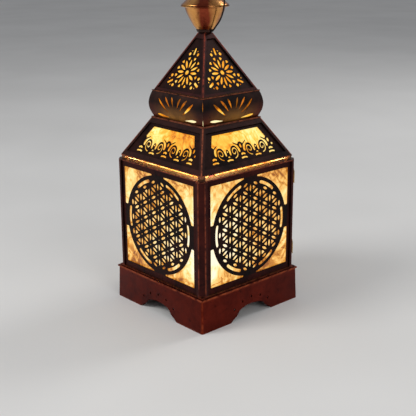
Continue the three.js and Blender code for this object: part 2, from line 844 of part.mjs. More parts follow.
// Spire: ridge frame, pierced faces, and a pointed glass liner that stands on the cap ring behind them
const spireLean = Math.atan2(spireFootHalf - spireTopHalf, spireRise);
const spireSlant = Math.hypot(spireFootHalf - spireTopHalf, spireRise);
{
  const narrowing = Math.sin(spireLean);
  const half = (h) => spireFootHalf - narrowing * h;
  const wall = strap / Math.cos(spireLean);
  const footHalf = spireFootHalf - gap * Math.tan(spireLean);
  const shell = squareRing([
    [footHalf, capTop + gap],
    [spireTopHalf, spireTop],
    [spireTopHalf - wall, spireTop],
    [footHalf - wall, capTop + gap],
  ]);
  const low = 3.0;
  const high = spireSlant - 6.0;
  const opening = [
    [-(half(low) - ridgeStrip), low],
    [half(low) - ridgeStrip, low],
    [half(high) - ridgeStrip, high],
    [-(half(high) - ridgeStrip), high],
  ];
  const tools = [0, 1, 2, 3].map((turns) => {
    const tool = plate(opening, [], 4).translate(0, 2, 0);
    tool.rotateX(-spireLean).translate(0, -spireFootHalf, capTop).rotateZ(turns * 90 * deg);
    return tool;
  });
  place(part, "spire_frame", cut(shell, tools), "darkCopper");
  const foot = (gap + faceDeep * Math.sin(spireLean)) / Math.cos(spireLean);
  const top = spireSlant - 2.4;
  const inset = faceDeep * Math.cos(spireLean) + gap;
  const outline = [
    [-(half(foot) - inset), foot],
    [half(foot) - inset, foot],
    [half(top) - inset, top],
    [-(half(top) - inset), top],
  ];
  const rosette = [ringOf(0, rosetteUp, rosetteEye, 6)];
  for (let k = 0; k < 12; k++) {
    const r = (rosettePetalIn + rosettePetalOut) / 2;
    const x = r * Math.cos(30 * k * deg);
    const h = rosetteUp + r * Math.sin(30 * k * deg);
    rosette.push(petal(x, h, rosettePetalOut - rosettePetalIn, rosettePetalWide, 30 * k));
  }
  for (const turn of [90, 210, 330]) {
    const x = 21.8 * Math.cos(turn * deg);
    rosette.push(petal(x, rosetteUp + 21.8 * Math.sin(turn * deg), 7.4, 2.6, turn));
  }
  ["front", "right", "back", "left"].forEach((name, turns) => {
    const face = slope(turns, spireFootHalf, capTop, spireLean);
    place(face, "spire_face_" + name, plate(outline, rosette, sheet), "copper", 0, faceDeep, 0);
  });
  const behind = (deep, rise) => spireFootHalf - rise * Math.tan(spireLean) - deep / Math.cos(spireLean);
  const liner = squareRing([
    [behind(glassIn, gap), capTop + gap],
    [behind(glassIn, spirePaneRise), capTop + spirePaneRise],
    [behind(glassDeep, spirePaneRise), capTop + spirePaneRise],
    [behind(glassDeep, gap), capTop + gap],
  ]);
  place(part, "spire_glass", liner, "glass");
}

// Neck collar with a blind hole at each side for the ends of the bail
const bailEnd = 4.4;
{
  const collar = turnedUp([
    [0, 0],
    [collarFoot, 0],
    [collarFoot + 1.4, 0.5],
    [collarTop, collarHigh],
    [0, collarHigh],
  ]);
  const bore = turned([[0, bailEnd - gap], [bailHole, bailEnd - gap], [bailHole, 12], [0, 12]], 10);
  bore.rotateZ(-90 * deg).translate(0, 0, collarHigh / 2);
  const other = bore.clone().rotateZ(180 * deg);
  place(part, "neck_collar", cut(collar, [bore, other]), "darkCopper", 0, 0, collarBase);
}

// Finial: spun bowl with a flange, dome, and tip
{
  const bowl = [
    [0, 0],
    [bowlFoot, 0],
    [11.6, 3.2],
    [14.4, 8.0],
    [16.8, 12.5],
    [18.7, 16.8],
    [flangeRoot, bowlHigh - 1.4],
    [flangeRadius - 0.4, bowlHigh - 0.9],
    [flangeRadius, bowlHigh - 0.6],
    [flangeRadius, bowlHigh],
    [flangeRoot - bowlWall, bowlHigh],
    [16.8 - bowlWall, 12.9],
    [11.6 - bowlWall, 3.8],
    [bowlFoot - 0.8, bowlWall],
    [0, bowlWall],
  ];
  place(part, "finial_bowl", turnedUp(bowl), "copper", 0, 0, bowlBase);
  const dome = [
    [0, domeHigh],
    [4.2, domeHigh],
    [4.6, domeHigh - 1.4],
    [7.6, domeHigh - 2.6],
    [12.2, domeHigh - 4.2],
    [16.4, 5.9],
    [19.0, 4.0],
    [flangeRadius - 0.6, 0.6],
    [flangeRadius - 0.6, 0],
    [flangeRadius - 2.0, 0],
    [15.9, 5.0],
    [7.1, domeHigh - 3.5],
    [3.8, domeHigh - 2.2],
    [3.4, domeHigh - bowlWall],
    [0, domeHigh - bowlWall],
  ];
  place(part, "finial_dome", turnedUp(dome), "copper", 0, 0, domeBase);
  const tip = [
    [0, 0],
    [4.4, 0],
    [4.7, 0.7],
    [2.8, 1.7],
    [3.2, 2.3],
    [4.5, 4.0],
    [4.1, 5.8],
    [2.3, 7.6],
    [1.1, 9.2],
    [0, tipHigh],
  ];
  place(part, "finial_tip", turnedUp(tip, 12), "copper", 0, 0, domeTop + gap);
}

// Bail ring: an oval of round wire that passes outside the finial and hooks into the collar at both sides
{
  const points = [
    [bailEnd, 0],
    [8.2, 0],
    [10.8, 0.6],
    [13.4, 3.0],
  ];
  const start = -Math.acos(16.4 / bailHalfWide) / deg;
  const tall = bailHalfHigh / bailHalfWide;
  for (const [x, z] of arc(0, 0, bailHalfWide, start, 90, 8)) points.push([x, bailHalfHigh + z * tall]);
  const right = points.map(([x, z]) => new THREE.Vector3(x, 0, z));
  const left = points.slice(0, -1).reverse().map(([x, z]) => new THREE.Vector3(-x, 0, z));
  const path = new THREE.CatmullRomCurve3([...right, ...left], false, "centripetal");
  const round = shapeOf(ringOf(0, 0, bailWire, 6));
  const wire = new THREE.ExtrudeGeometry(round, { steps: 38, bevelEnabled: false, extrudePath: path });
  place(part, "bail_ring", facingOut(wire), "iron", 0, 0, bailPivot);
}

export default part;
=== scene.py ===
"""Looks of the square pierced-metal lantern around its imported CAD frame.

Sizes are in millimetres until a mesh is made. Sides count from the front: 0 front, 1 right, 2 back, 3 left.
"""
import math

import bpy
import numpy as np
from mathutils import Matrix, Vector
from mathutils.geometry import delaunay_2d_cdt


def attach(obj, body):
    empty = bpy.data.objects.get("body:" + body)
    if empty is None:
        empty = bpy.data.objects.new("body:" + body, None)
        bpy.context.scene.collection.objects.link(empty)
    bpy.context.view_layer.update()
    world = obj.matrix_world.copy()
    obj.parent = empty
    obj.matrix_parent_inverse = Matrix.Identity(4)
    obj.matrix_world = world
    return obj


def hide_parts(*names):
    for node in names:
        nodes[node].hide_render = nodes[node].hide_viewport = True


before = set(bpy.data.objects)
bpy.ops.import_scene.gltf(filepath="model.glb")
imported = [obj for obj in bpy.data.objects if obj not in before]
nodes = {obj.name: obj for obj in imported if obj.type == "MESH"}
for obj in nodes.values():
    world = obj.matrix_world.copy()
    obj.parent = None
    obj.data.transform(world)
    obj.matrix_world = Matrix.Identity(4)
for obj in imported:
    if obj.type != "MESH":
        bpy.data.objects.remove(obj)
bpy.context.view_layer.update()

# Sizes shared with the CAD part. Heights above the skirt are counted from the skirt's top.
SKIRT_HIGH = 33.0
SKIRT_WALL = 1.2
SKIRT_FOOT = 67.0  # half width at the floor
BODY = 65.0  # half width over the corner posts and the door
PANEL_OUT = 63.8  # from the axis to the outer face of a fixed panel
POST_FOOT, POST_TOP = SKIRT_HIGH + 3.4, SKIRT_HIGH + 116.7  # also of the panels
CENTRE = SKIRT_HIGH + 60.7  # height of the middle of the discs
WIN_X, WIN_Z = 52.45, 50.7  # half width and half height of a wall's window
DISC = 50.1  # radius
PITCH = 15.6  # between neighbouring centres of the overlapping circles
EAVE, TRAY_TOP = 61.1, SKIRT_HIGH + 122.0  # half width and height of the roof's foot
ROOF_RISE, ROOF_TOP = 37.3, 38.8  # height, half width at its top
CORNICE_Z, CORNICE_H, CORNICE_HALF = SKIRT_HIGH + 161.4, 25.0, 36.7  # its foot, height, half width at the foot
SPIRE_Z, SPIRE_RISE = SKIRT_HIGH + 187.7, 55.4  # its foot, height
SPIRE_HALF, SPIRE_TOP = 36.4, 5.0  # half widths at its foot and its top
FACE_IN = 1.1  # from the plane of the hips in to the outer face of a sloped sheet
GAP = 0.3  # between neighbouring pieces
BOWL, DOME, TIP = SKIRT_HIGH + 246.8, SKIRT_HIGH + 269.1, SKIRT_HIGH + 281.8  # feet of the finial's pieces
BAIL_Z = SKIRT_HIGH + 244.95  # height of the ring's axis

# Sizes of the looks alone
THIN = 0.5  # drawn thickness of pierced sheet
SHUT = 0.03  # a joint that lets no light out
FOLD = 1.8  # radius of the skirt's folded corners
WIRE = 0.78  # radius of the ring's wire
FLAME = (0.0, 0.0, SKIRT_HIGH + 29.4)  # middle of the flame


# Geometry helpers

def arc(cx, cy, r, a0, a1, n):
    """n steps of an arc from angle a0 to a1, in degrees."""
    return [(cx + r * math.cos(math.radians(a0 + (a1 - a0) * i / n)),
             cy + r * math.sin(math.radians(a0 + (a1 - a0) * i / n))) for i in range(n + 1)]


def circle(cx, cy, r, n, turn=0.0):
    return [(cx + r * math.cos(math.radians(turn + 360 * i / n)),
             cy + r * math.sin(math.radians(turn + 360 * i / n))) for i in range(n)]


def mirror_x(points):
    return [(-x, y) for x, y in reversed(points)]


def mirror_y(points):
    return [(x, -y) for x, y in reversed(points)]


def oval(cx, cy, long, wide, turn, n, blunt):
    """A petal with rounded tips: half width follows (1 - t^2) ^ blunt along the length."""
    c, s = math.cos(math.radians(turn)), math.sin(math.radians(turn))
    side = []
    for i in range(n + 1):
        t = -math.cos(math.pi * i / n)
        side.append((t * long / 2, -wide / 2 * (1 - t * t) ** blunt))
    full = side + mirror_y(side[1:-1])
    return [(cx + c * x - s * y, cy + s * x + c * y) for x, y in full]


def rounded(points, r, n=2):
    """Rounds the corners of a closed outline by about r."""
    most_of_side = 0.45
    out = []
    m = len(points)
    for i in range(m):
        p0, p1, p2 = (Vector(points[(i + k) % m]) for k in (-1, 0, 1))
        a, b = p0 - p1, p2 - p1
        ra = min(r, a.length * most_of_side)
        rb = min(r, b.length * most_of_side)
        q0, q1 = p1 + a.normalized() * ra, p1 + b.normalized() * rb
        for k in range(n + 1):
            t = k / n
            v = q0 * (1 - t) ** 2 + p1 * 2 * t * (1 - t) + q1 * t * t
            out.append((v.x, v.y))
    return out


def inside(points, poly):
    """Which of the points lie inside a closed outline."""
    x, y = points[:, 0], points[:, 1]
    p = np.asarray(poly)
    q = np.roll(p, -1, axis=0)
    hit = np.zeros(len(points), bool)
    for (x0, y0), (x1, y1) in zip(p, q):
        if y0 == y1:
            continue
        hit ^= ((y0 > y) != (y1 > y)) & (x < (x1 - x0) * (y - y0) / (y1 - y0) + x0)
    return hit


def triangulate(outline, holes, rows):
    """Points and triangles of an outline less its holes; rows are lines that edges have to follow."""
    pts, edges = [], []
    for poly in [outline, *holes]:
        base, n = len(pts), len(poly)
        pts += [Vector(p) for p in poly]
        edges += [(base + i, base + (i + 1) % n) for i in range(n)]
    for a, b in rows:
        edges.append((len(pts), len(pts) + 1))
        pts += [Vector(a), Vector(b)]
    verts, _, faces, *_ = delaunay_2d_cdt(pts, edges, [], 0, 1e-5, False)
    co = np.array([(v.x, v.y) for v in verts])
    tris = np.array(faces)
    mid = co[tris].mean(axis=1)
    keep = inside(mid, outline)
    for hole in holes:
        p = np.asarray(hole)
        close = keep & (mid > p.min(0)).all(1) & (mid < p.max(0)).all(1)
        idx = np.nonzero(close)[0]
        if len(idx):
            keep[idx[inside(mid[idx], hole)]] = False
    return co, tris[keep]


def plate_mesh(outline, holes, thick, put, rows=()):
    """Vertices and faces of a pierced sheet; put(x, y, depth) places a drawn point, depth 0 being the outer face."""
    co, tris = triangulate(outline, holes, rows)
    used, inv = np.unique(tris, return_inverse=True)
    tris = inv.reshape(-1, 3)
    co = co[used]
    n = len(co)
    verts = [put(x, y, 0.0) for x, y in co] + [put(x, y, thick) for x, y in co]
    faces = [tuple(t) for t in tris] + [(c + n, b + n, a + n) for a, b, c in tris]
    directed = set()
    for a, b, c in tris:
        directed.update(((a, b), (b, c), (c, a)))
    faces += [(b, a, a + n, b + n) for a, b in directed if (b, a) not in directed]
    return verts, faces


def merged(parts):
    """One mesh of several."""
    verts, faces = [], []
    for v, f in parts:
        base = len(verts)
        verts += v
        faces += [tuple(i + base for i in t) for t in f]
    return verts, faces


def lathe_mesh(profile, n, centre, axis="z"):
    """Closed turned body from (radius, height) points that start and end on the axis; axis "y" points to +Y."""
    verts, rings = [], []
    for r, z in profile:
        if r < 1e-6:
            rings.append([len(verts)])
            verts.append((0.0, 0.0, z))
        else:
            rings.append(list(range(len(verts), len(verts) + n)))
            verts += [(r * math.cos(2 * math.pi * i / n), r * math.sin(2 * math.pi * i / n), z) for i in range(n)]
    faces = []
    for lo, hi in zip(rings, rings[1:]):
        for i in range(n):
            j = (i + 1) % n
            if len(lo) == 1 and len(hi) == 1:
                continue
            if len(lo) == 1:
                faces.append((lo[0], hi[j], hi[i]))
            elif len(hi) == 1:
                faces.append((lo[i], lo[j], hi[0]))
            else:
                faces.append((lo[i], lo[j], hi[j], hi[i]))
    if axis == "y":
        verts = [(x, z, -y) for x, y, z in verts]
    cx, cy, cz = centre
    return [(x + cx, y + cy, z + cz) for x, y, z in verts], faces


def smooth_line(points, per):
    """Catmull-Rom curve through points, ends included, in per steps from each point to the next."""
    out = []
    for i in range(len(points) - 1):
        p0, p1, p2, p3 = (points[min(max(i + k, 0), len(points) - 1)] for k in (-1, 0, 1, 2))
        for k in range(per):
            t = k / per
            out.append(tuple(0.5 * (2 * b + (c - a) * t + (2 * a - 5 * b + 4 * c - d) * t * t
                                    + (3 * b - a - 3 * c + d) * t ** 3) for a, b, c, d in zip(p0, p1, p2, p3)))
    return out + [points[-1]]


def smooth_profile(points, per=4):
    """The same for a turned body's (radius, height) points; a point given twice stays a corner."""
    runs = [[points[0]]]
    for a, b in zip(points, points[1:]):
        if a == b:
            runs.append([b])
        else:
            runs[-1].append(b)
    curve = [(max(r, 0.0), h) for run in runs for r, h in smooth_line(run, per)]
    clean = curve[:1]
    for p in curve[1:]:
        if math.dist(p, clean[-1]) > 1e-4:
            clean.append(p)
    return clean


def spun(low, points, high, n, at, per=4, axis="z"):
    """Turned body whose profile leaves the axis at height low, goes through points and comes back at height high."""
    return lathe_mesh([(0, low)] + smooth_profile(points, per) + [(0, high)], n, at, axis)


def tube_mesh(path, radius, n):
    """Round wire with closed ends along points that lie in one upright plane (XZ)."""
    verts, faces = [], []
    m = len(path)
    for i, p in enumerate(path):
        a, b = Vector(path[max(i - 1, 0)]), Vector(path[min(i + 1, m - 1)])
        t = (b - a).normalized()
        side = Vector((0, 1, 0))
        up = t.cross(side).normalized()
        for k in range(n):
            w = 2 * math.pi * k / n
            verts.append(tuple(Vector(p) + side * (radius * math.cos(w)) + up * (radius * math.sin(w))))
    for i in range(m - 1):
        for k in range(n):
            j = (k + 1) % n
            faces.append((i * n + k, i * n + j, (i + 1) * n + j, (i + 1) * n + k))
    faces.append(tuple(range(n))[::-1])
    faces.append(tuple(range((m - 1) * n, m * n)))
    return verts, faces


def turn_to(k):
    """Turns points drawn for the front to side k."""
    c, s = [(1, 0), (0, 1), (-1, 0), (0, -1)][k]
    return lambda x, y, z: (c * x - s * y, s * x + c * y, z)


def upright(k, out, z0):
    """Puts a drawn sheet upright on side k, its outer face at that distance from the axis."""
    go = turn_to(k)
    return lambda x, h, d: go(x, -(out - d), h + z0)


def leaning(k, half, z0, lean):
    """Puts a drawn sheet on sloped side k, FACE_IN behind the plane that leans from the foot at (half, z0)."""
    go = turn_to(k)
    c, s = math.cos(lean), math.sin(lean)
    return lambda x, h, d: go(x, -half + h * s + (d + FACE_IN) * c, z0 + h * c - (d + FACE_IN) * s)


def bulging(k, out):
    """Bends a sheet whose distance out at height z is out(z); its ends stay on the mitre planes."""
    go = turn_to(k)

    def put(x, z, d):
        o = out(z)
        return go(x * (o - d) / o, -(o - d), z)
    return put


def folded(k, out, fold):
    """Wraps a sheet round the corners with that outer fold radius, up to the mitre planes."""
    go = turn_to(k)

    def put(x, z, d):
        o = out(z)
        flat = o - fold
        if abs(x) <= flat:
            return go(x, -(o - d), z)
        w = (abs(x) - flat) / fold
        side = math.copysign(1, x)
        return go(side * (flat + (fold - d) * math.sin(w)), -(flat + (fold - d) * math.cos(w)), z)
    return put


def ribbon(path, half, cap=3):
    """Slot of half width half(t) along a line of points, with round ends."""
    m = len(path)
    left, right = [], []
    for i, (x, y) in enumerate(path):
        a, b = path[max(i - 1, 0)], path[min(i + 1, m - 1)]
        t = math.dist(a, b)
        nx, ny = -(b[1] - a[1]) / t, (b[0] - a[0]) / t
        w = half(i / (m - 1))
        left.append((x + nx * w, y + ny * w))
        right.append((x - nx * w, y - ny * w))

    def end(p, frm, w):
        a0 = math.degrees(math.atan2(frm[1] - p[1], frm[0] - p[0]))
        return arc(p[0], p[1], w, a0, a0 + 180, cap + 1)[1:-1]
    return right + end(path[-1], right[-1], half(1)) + left[::-1] + end(path[0], left[0], half(0))


# Finishes

class Finish:
    """A node-built material. Values that are the same everywhere are set on the shader itself."""

    def __init__(self, name, **values):
        self.mat = bpy.data.materials.new(name)
        self.mat.use_nodes = True
        self.tree = self.mat.node_tree
        self.shader = self.tree.nodes["Principled BSDF"]
        for key, value in values.items():
            self.shader.inputs[key.replace("_", " ")].default_value = value
        self.place = self.node("TexCoord").outputs["Object"]

    def node(self, kind, inputs=(), **props):
        made = self.tree.nodes.new("ShaderNode" + kind)
        for key, value in props.items():
            setattr(made, key, value)
        for key, value in dict(inputs).items():
            if isinstance(value, bpy.types.NodeSocket):
                self.tree.links.new(value, made.inputs[key])
            else:
                made.inputs[key].default_value = value
        return made

    def noise(self, scale, detail=4.0, rough=0.55, twist=0.0, stretch=None):
        place = self.place
        if stretch:
            place = self.node("Mapping", {"Vector": place, "Scale": stretch}).outputs[0]
        return self.node("TexNoise", {"Vector": place, "Scale": scale, "Detail": detail, "Roughness": rough,
                                      "Distortion": twist}).outputs["Fac"]

    def cells(self, scale, smooth=0.6):
        return self.node("TexVoronoi", {"Vector": self.place, "Scale": scale, "Smoothness": smooth},
                         feature="SMOOTH_F1").outputs["Distance"]

    def maths(self, op, a, b=0.0, clamp=False):
        return self.node("Math", {0: a, 1: b}, operation=op, use_clamp=clamp).outputs[0]

    def plus(self, a, b, clamp=False):
        return self.maths("ADD", a, b, clamp)

    def minus(self, a, b, clamp=False):
        return self.maths("SUBTRACT", a, b, clamp)

    def times(self, a, b, clamp=False):
        return self.maths("MULTIPLY", a, b, clamp)

    def absolute(self, a):
        return self.maths("ABSOLUTE", a)

    def least(self, a, b):
        return self.maths("MINIMUM", a, b)

    def most(self, top, *others):
        for value in others:
            top = self.maths("MAXIMUM", top, value)
        return top

    def span(self, value, lo, hi, to_lo=0.0, to_hi=1.0):
        """Goes from to_lo to to_hi as the value goes from lo to hi."""
        return self.node("MapRange", {"Value": value, "From Min": lo, "From Max": hi, "To Min": to_lo,
                                      "To Max": to_hi}).outputs[0]

    def ramp(self, fac, *stops):
        """Colour band; a stop is (place, colour)."""
        made = self.node("ValToRGB", {"Fac": fac})
        band = made.color_ramp.elements
        while len(band) < len(stops):
            band.new(0.5)
        for element, (at, colour) in zip(band, stops):
            element.position = at
            element.color = (*colour, 1)
        return made.outputs[0]

    def mix(self, fac, a, b):
        return self.node("Mix", {0: fac, 6: a, 7: b}, data_type="RGBA").outputs[2]

    def axes(self):
        """|x|, |y| and z in metres: the four sides look alike in them."""
        made = self.node("SeparateXYZ", {0: self.place})
        x, y = (self.absolute(made.outputs[i]) for i in (0, 1))
        return x, y, made.outputs[2]

    def along(self, *direction):
        """How far a place lies along a direction, times the direction's length."""
        return self.node("VectorMath", {0: self.place, 1: direction}, operation="DOT_PRODUCT").outputs["Value"]

    def away(self, *point):
        """How far a place lies from a point, in metres."""
        return self.node("VectorMath", {0: self.place, 1: point}, operation="DISTANCE").outputs["Value"]

    def bump(self, *layers):
        """Relief of several layers: (height, strength, millimetres deep)."""
        normal = None
        for height, strength, deep in layers:
            inputs = {"Height": height, "Strength": strength, "Distance": deep / 1000}
            if normal:
                inputs["Normal"] = normal
            normal = self.node("Bump", inputs).outputs[0]
        self.link("Normal", normal)

    def link(self, key, value):
        self.tree.links.new(value, self.shader.inputs[key])


def rgb(r, g, b):
    return (r, g, b, 1)


def above(millimetres):
    """A height in metres, from one in millimetres above the skirt."""
    return (SKIRT_HIGH + millimetres) / 1000


def metal(name, dark, bright, rough=(0.34, 0.56), metallic=0.9, wear=None, spun=False, patina=0.5, bare_and_painted_lit_inside=False,
          tint=None):
    """Aged metal: mottled tarnish, dull spots and fine scratches.

    wear is a mask of rubbed edges with their colour, tint changes the colour by place (a painted glow on the cornice,
    painted highlights on the spun copper), and a sheet bare and painted lit inside is bare copper on its inner side,
    painted lighter there to stand for candle light, with a painted glow in the slot under the eaves.
    """
    f = Finish(name, Metallic=metallic)
    clouds = f.noise(34, 5, 0.6, 0.4)
    grain = f.noise(260, 3, 0.6)
    mott = f.span(f.plus(clouds, f.times(grain, 0.25)), patina - 0.06, patina + 0.32)
    colour = f.mix(mott, rgb(*dark), rgb(*bright))
    if tint:
        colour = tint(f, colour, mott)
    spots = f.span(f.noise(150, 4, 0.7), 0.60, 0.70)
    colour = f.mix(f.times(spots, 0.7), colour, rgb(*(c * 0.35 for c in dark)))
    if wear:
        mask, worn = wear
        edge = f.times(mask(f), f.span(f.noise(190, 3, 0.6), 0.34, 0.58), clamp=True)
        colour = f.mix(edge, colour, rgb(*worn))
    if bare_and_painted_lit_inside:
        # bare copper inside, painted lighter to stand for candle light, and a painted glow in the slot under the
        # eaves
        inner = inward(f)
        colour = f.mix(inner, colour, f.mix(mott, rgb(0.42, 0.22, 0.09), rgb(0.78, 0.54, 0.27)))
        f.link("Metallic", f.span(inner, 0, 1, metallic, 0.35))
    f.link("Base Color", colour)
    f.link("Roughness", f.span(f.plus(clouds, f.times(grain, 0.6)), 0.45, 1.1, *rough))
    scratch = f.noise(90, 2, 0.5, 0, (1, 1, 26) if spun else (9, 9, 0.8))
    f.bump((f.noise(75, 3, 0.5), 0.30, 0.5), (scratch, 0.5 if spun else 0.18, 0.10), (grain, 0.16, 0.12))
    return f.mat


def red_border(f, colour, mott):
    """Red-brown copper on the border of a wall sheet, outside its window."""
    x, y, z = f.axes()
    high = f.absolute(f.minus(z, CENTRE / 1000))
    beside, beyond = (f.span(value, (edge - 0.2) / 1000, (edge + 0.3) / 1000)
                      for value, edge in ((f.least(x, y), WIN_X), (high, WIN_Z)))
    border = f.most(beside, beyond)
    return f.mix(border, colour, f.mix(mott, rgb(0.020, 0.005, 0.005), rgb(0.085, 0.015, 0.010)))


def painted_glow_foot(f, colour, mott):
    """Painted glow of light thrown up from the roof's glass: golden low on the middle of each cornice face, reddish
    brown toward its corners.
    """
    x, y, z = f.axes()
    # painted glow: strongest low on each face, fading upward
    high = f.plus(f.span(z, above(161), above(177), 1, 0), f.times(f.noise(60, 4), 0.3))
    high = f.minus(high, 0.15, clamp=True)
    middle = f.span(f.least(x, y), 0.006, 0.034, 1, 0)
    painted_red_glow = f.mix(high, colour, f.mix(mott, rgb(0.080, 0.014, 0.008), rgb(0.180, 0.034, 0.014)))
    painted_gold_light = f.mix(mott, rgb(0.260, 0.120, 0.024), rgb(0.560, 0.280, 0.060))
    return f.mix(f.times(high, middle, clamp=True), painted_red_glow, painted_gold_light)


def painted_gold_highlights(f, colour, mott):
    """Painted golden highlights on the spun copper, in upright streaks on the four sides, and deep reddish copper
    toward the corners of the lantern.
    """
    x, y, _ = f.axes()
    turn = f.maths("DIVIDE", f.least(x, y), f.most(x, y, 0.001))
    highlight_streak = f.times(f.minus(f.noise(70, 4, 0.6, 0, (1, 1, 0.12)), 0.5), 1.2)
    painted_gold_light = f.span(f.plus(turn, highlight_streak), 0.12, 0.66, 1, 0)
    return f.mix(painted_gold_light, colour, f.mix(mott, rgb(0.50, 0.190, 0.045), rgb(0.86, 0.43, 0.13)))


def inward(f):
    """1 where the metal is bare copper painted lighter as candle light: facing the lantern's axis, and less so, as a
    painted glow of leaking light, in the slot under the eaves.
    """
    sides = f.node("TexCoord").outputs["Normal"]
    flat = f.node("VectorMath", {0: f.place, 1: (1, 1, 0)}, operation="MULTIPLY").outputs[0]
    facing = f.node("VectorMath", {0: sides, 1: flat}, operation="DOT_PRODUCT").outputs["Value"]
    x, y, z = f.axes()
    # painted glow of light leaking through the slot under the eaves, fading toward the corners
    slot = f.span(f.absolute(f.minus(z, above(119.5))), 0.0016, 0.0018, 1, 0)
    slot = f.times(slot, f.span(f.most(x, y), 0.0590, 0.0640, 0.26, 0))
    return f.most(f.span(facing, -0.006, -0.002, 1, 0), slot)


def near(f, value, at, width):
    """1 where a coordinate is at that millimetre, falling to 0 at width either side."""
    away = f.absolute(f.minus(value, at / 1000))
    return f.span(away, 0, width / 1000, 1, 0)


def corner(f, inner, outer):
    """Rises from 0 to 1 as the smaller of |x| and |y| goes from inner to outer, in millimetres."""
    x, y, _ = f.axes()
    return f.span(f.least(x, y), inner / 1000, outer / 1000)


def skirt_wear(f):
    """Wear along the skirt's upper edge, its folds and, less, its feet."""
    z = f.axes()[2]
    edges = f.most(near(f, z, SKIRT_HIGH, 1.4), corner(f, 64.6, 66.2), f.times(near(f, z, 0, 2.0), 0.6))
    return f.times(edges, 0.75)


def post_wear(f):
    """Wear along the posts' edges beside the panels, and at both ends."""
    x, y, z = f.axes()
    outer = f.span(f.most(x, y), 0.0640, 0.0646)
    folds = f.times(near(f, f.least(x, y), 60.0, 1.0), outer)
    return f.most(folds, near(f, z, POST_FOOT, 1.3), near(f, z, POST_TOP, 1.3))


def ring_wear(reach):
    """Wear along the outer edge of a square ring of that half width in millimetres."""
    def wear(f):
        x, y, _ = f.axes()
        return near(f, f.most(x, y), reach, 1.4)
    return wear


def hip_wear(f):
    """Wear along the hips, where |x| and |y| are the same."""
    x, y, _ = f.axes()
    return f.span(f.absolute(f.minus(x, y)), 0.0, 0.0016, 1, 0)


SHADE, TONE = (0.010, 0.006, 0.006), (0.036, 0.013, 0.010)  # dark and bright tone of the pierced sheets
sheet_metal = metal("antique_copper", SHADE, TONE, patina=0.56, metallic=1.0, bare_and_painted_lit_inside=True)
wall_metal = metal("wall_copper", SHADE, TONE, patina=0.56, metallic=1.0, bare_and_painted_lit_inside=True, tint=red_border)
# the cornice's tint is a painted glow from the roof below
cornice_metal = metal("cornice_sheet", SHADE, TONE, patina=0.56, metallic=0.85, bare_and_painted_lit_inside=True, tint=painted_glow_foot)
skirt_metal = metal("base_copper", (0.058, 0.006, 0.004), (0.150, 0.015, 0.007), rough=(0.30, 0.46), metallic=1.0,
                    wear=(skirt_wear, (0.34, 0.060, 0.022)))
plate_metal = metal("base_plate_copper", (0.050, 0.006, 0.004), (0.150, 0.018, 0.008), metallic=1.0,
                    wear=(ring_wear(66.7), (0.36, 0.075, 0.028)))
post_metal = metal("post_copper", (0.018, 0.005, 0.005), (0.070, 0.012, 0.009),
                   wear=(post_wear, (0.28, 0.060, 0.028)))
head_metal = metal("rim_copper", (0.016, 0.005, 0.005), (0.060, 0.012, 0.009), bare_and_painted_lit_inside=True,
                   wear=(ring_wear(BODY), (0.26, 0.060, 0.030)))
tray_metal = metal("eave_copper", (0.014, 0.006, 0.005), (0.055, 0.014, 0.010), bare_and_painted_lit_inside=True,
                   wear=(ring_wear(EAVE), (0.42, 0.12, 0.055)))
hip_metal = metal("roof_copper", (0.012, 0.006, 0.006), (0.045, 0.014, 0.010), wear=(hip_wear, (0.36, 0.09, 0.04)))
ridge_metal = metal("spire_copper", (0.014, 0.005, 0.005), (0.048, 0.010, 0.008),
                    wear=(hip_wear, (0.30, 0.05, 0.024)))
seat_metal = metal("cornice_copper", (0.012, 0.006, 0.006), (0.045, 0.014, 0.010), bare_and_painted_lit_inside=True,
                   wear=(ring_wear(38.2), (0.36, 0.10, 0.045)))
# the spun copper's tint is painted highlights
spun_metal = metal("spun_copper", (0.080, 0.012, 0.007), (0.300, 0.055, 0.024), rough=(0.16, 0.32), metallic=1.0,
                   spun=True, patina=0.40, tint=painted_gold_highlights)
dark_metal = metal("dark_copper", (0.016, 0.009, 0.008), (0.060, 0.024, 0.017))
brass = metal("aged_brass", (0.20, 0.120, 0.036), (0.52, 0.330, 0.110), rough=(0.26, 0.48), metallic=1.0,
              patina=0.44)
wire_metal = metal("blackened_wire", (0.012, 0.011, 0.011), (0.050, 0.040, 0.036), rough=(0.38, 0.6))
can_metal = metal("candle_can", (0.55, 0.53, 0.50), (0.80, 0.78, 0.74), rough=(0.18, 0.34), metallic=1.0, spun=True,
                  patina=0.3)


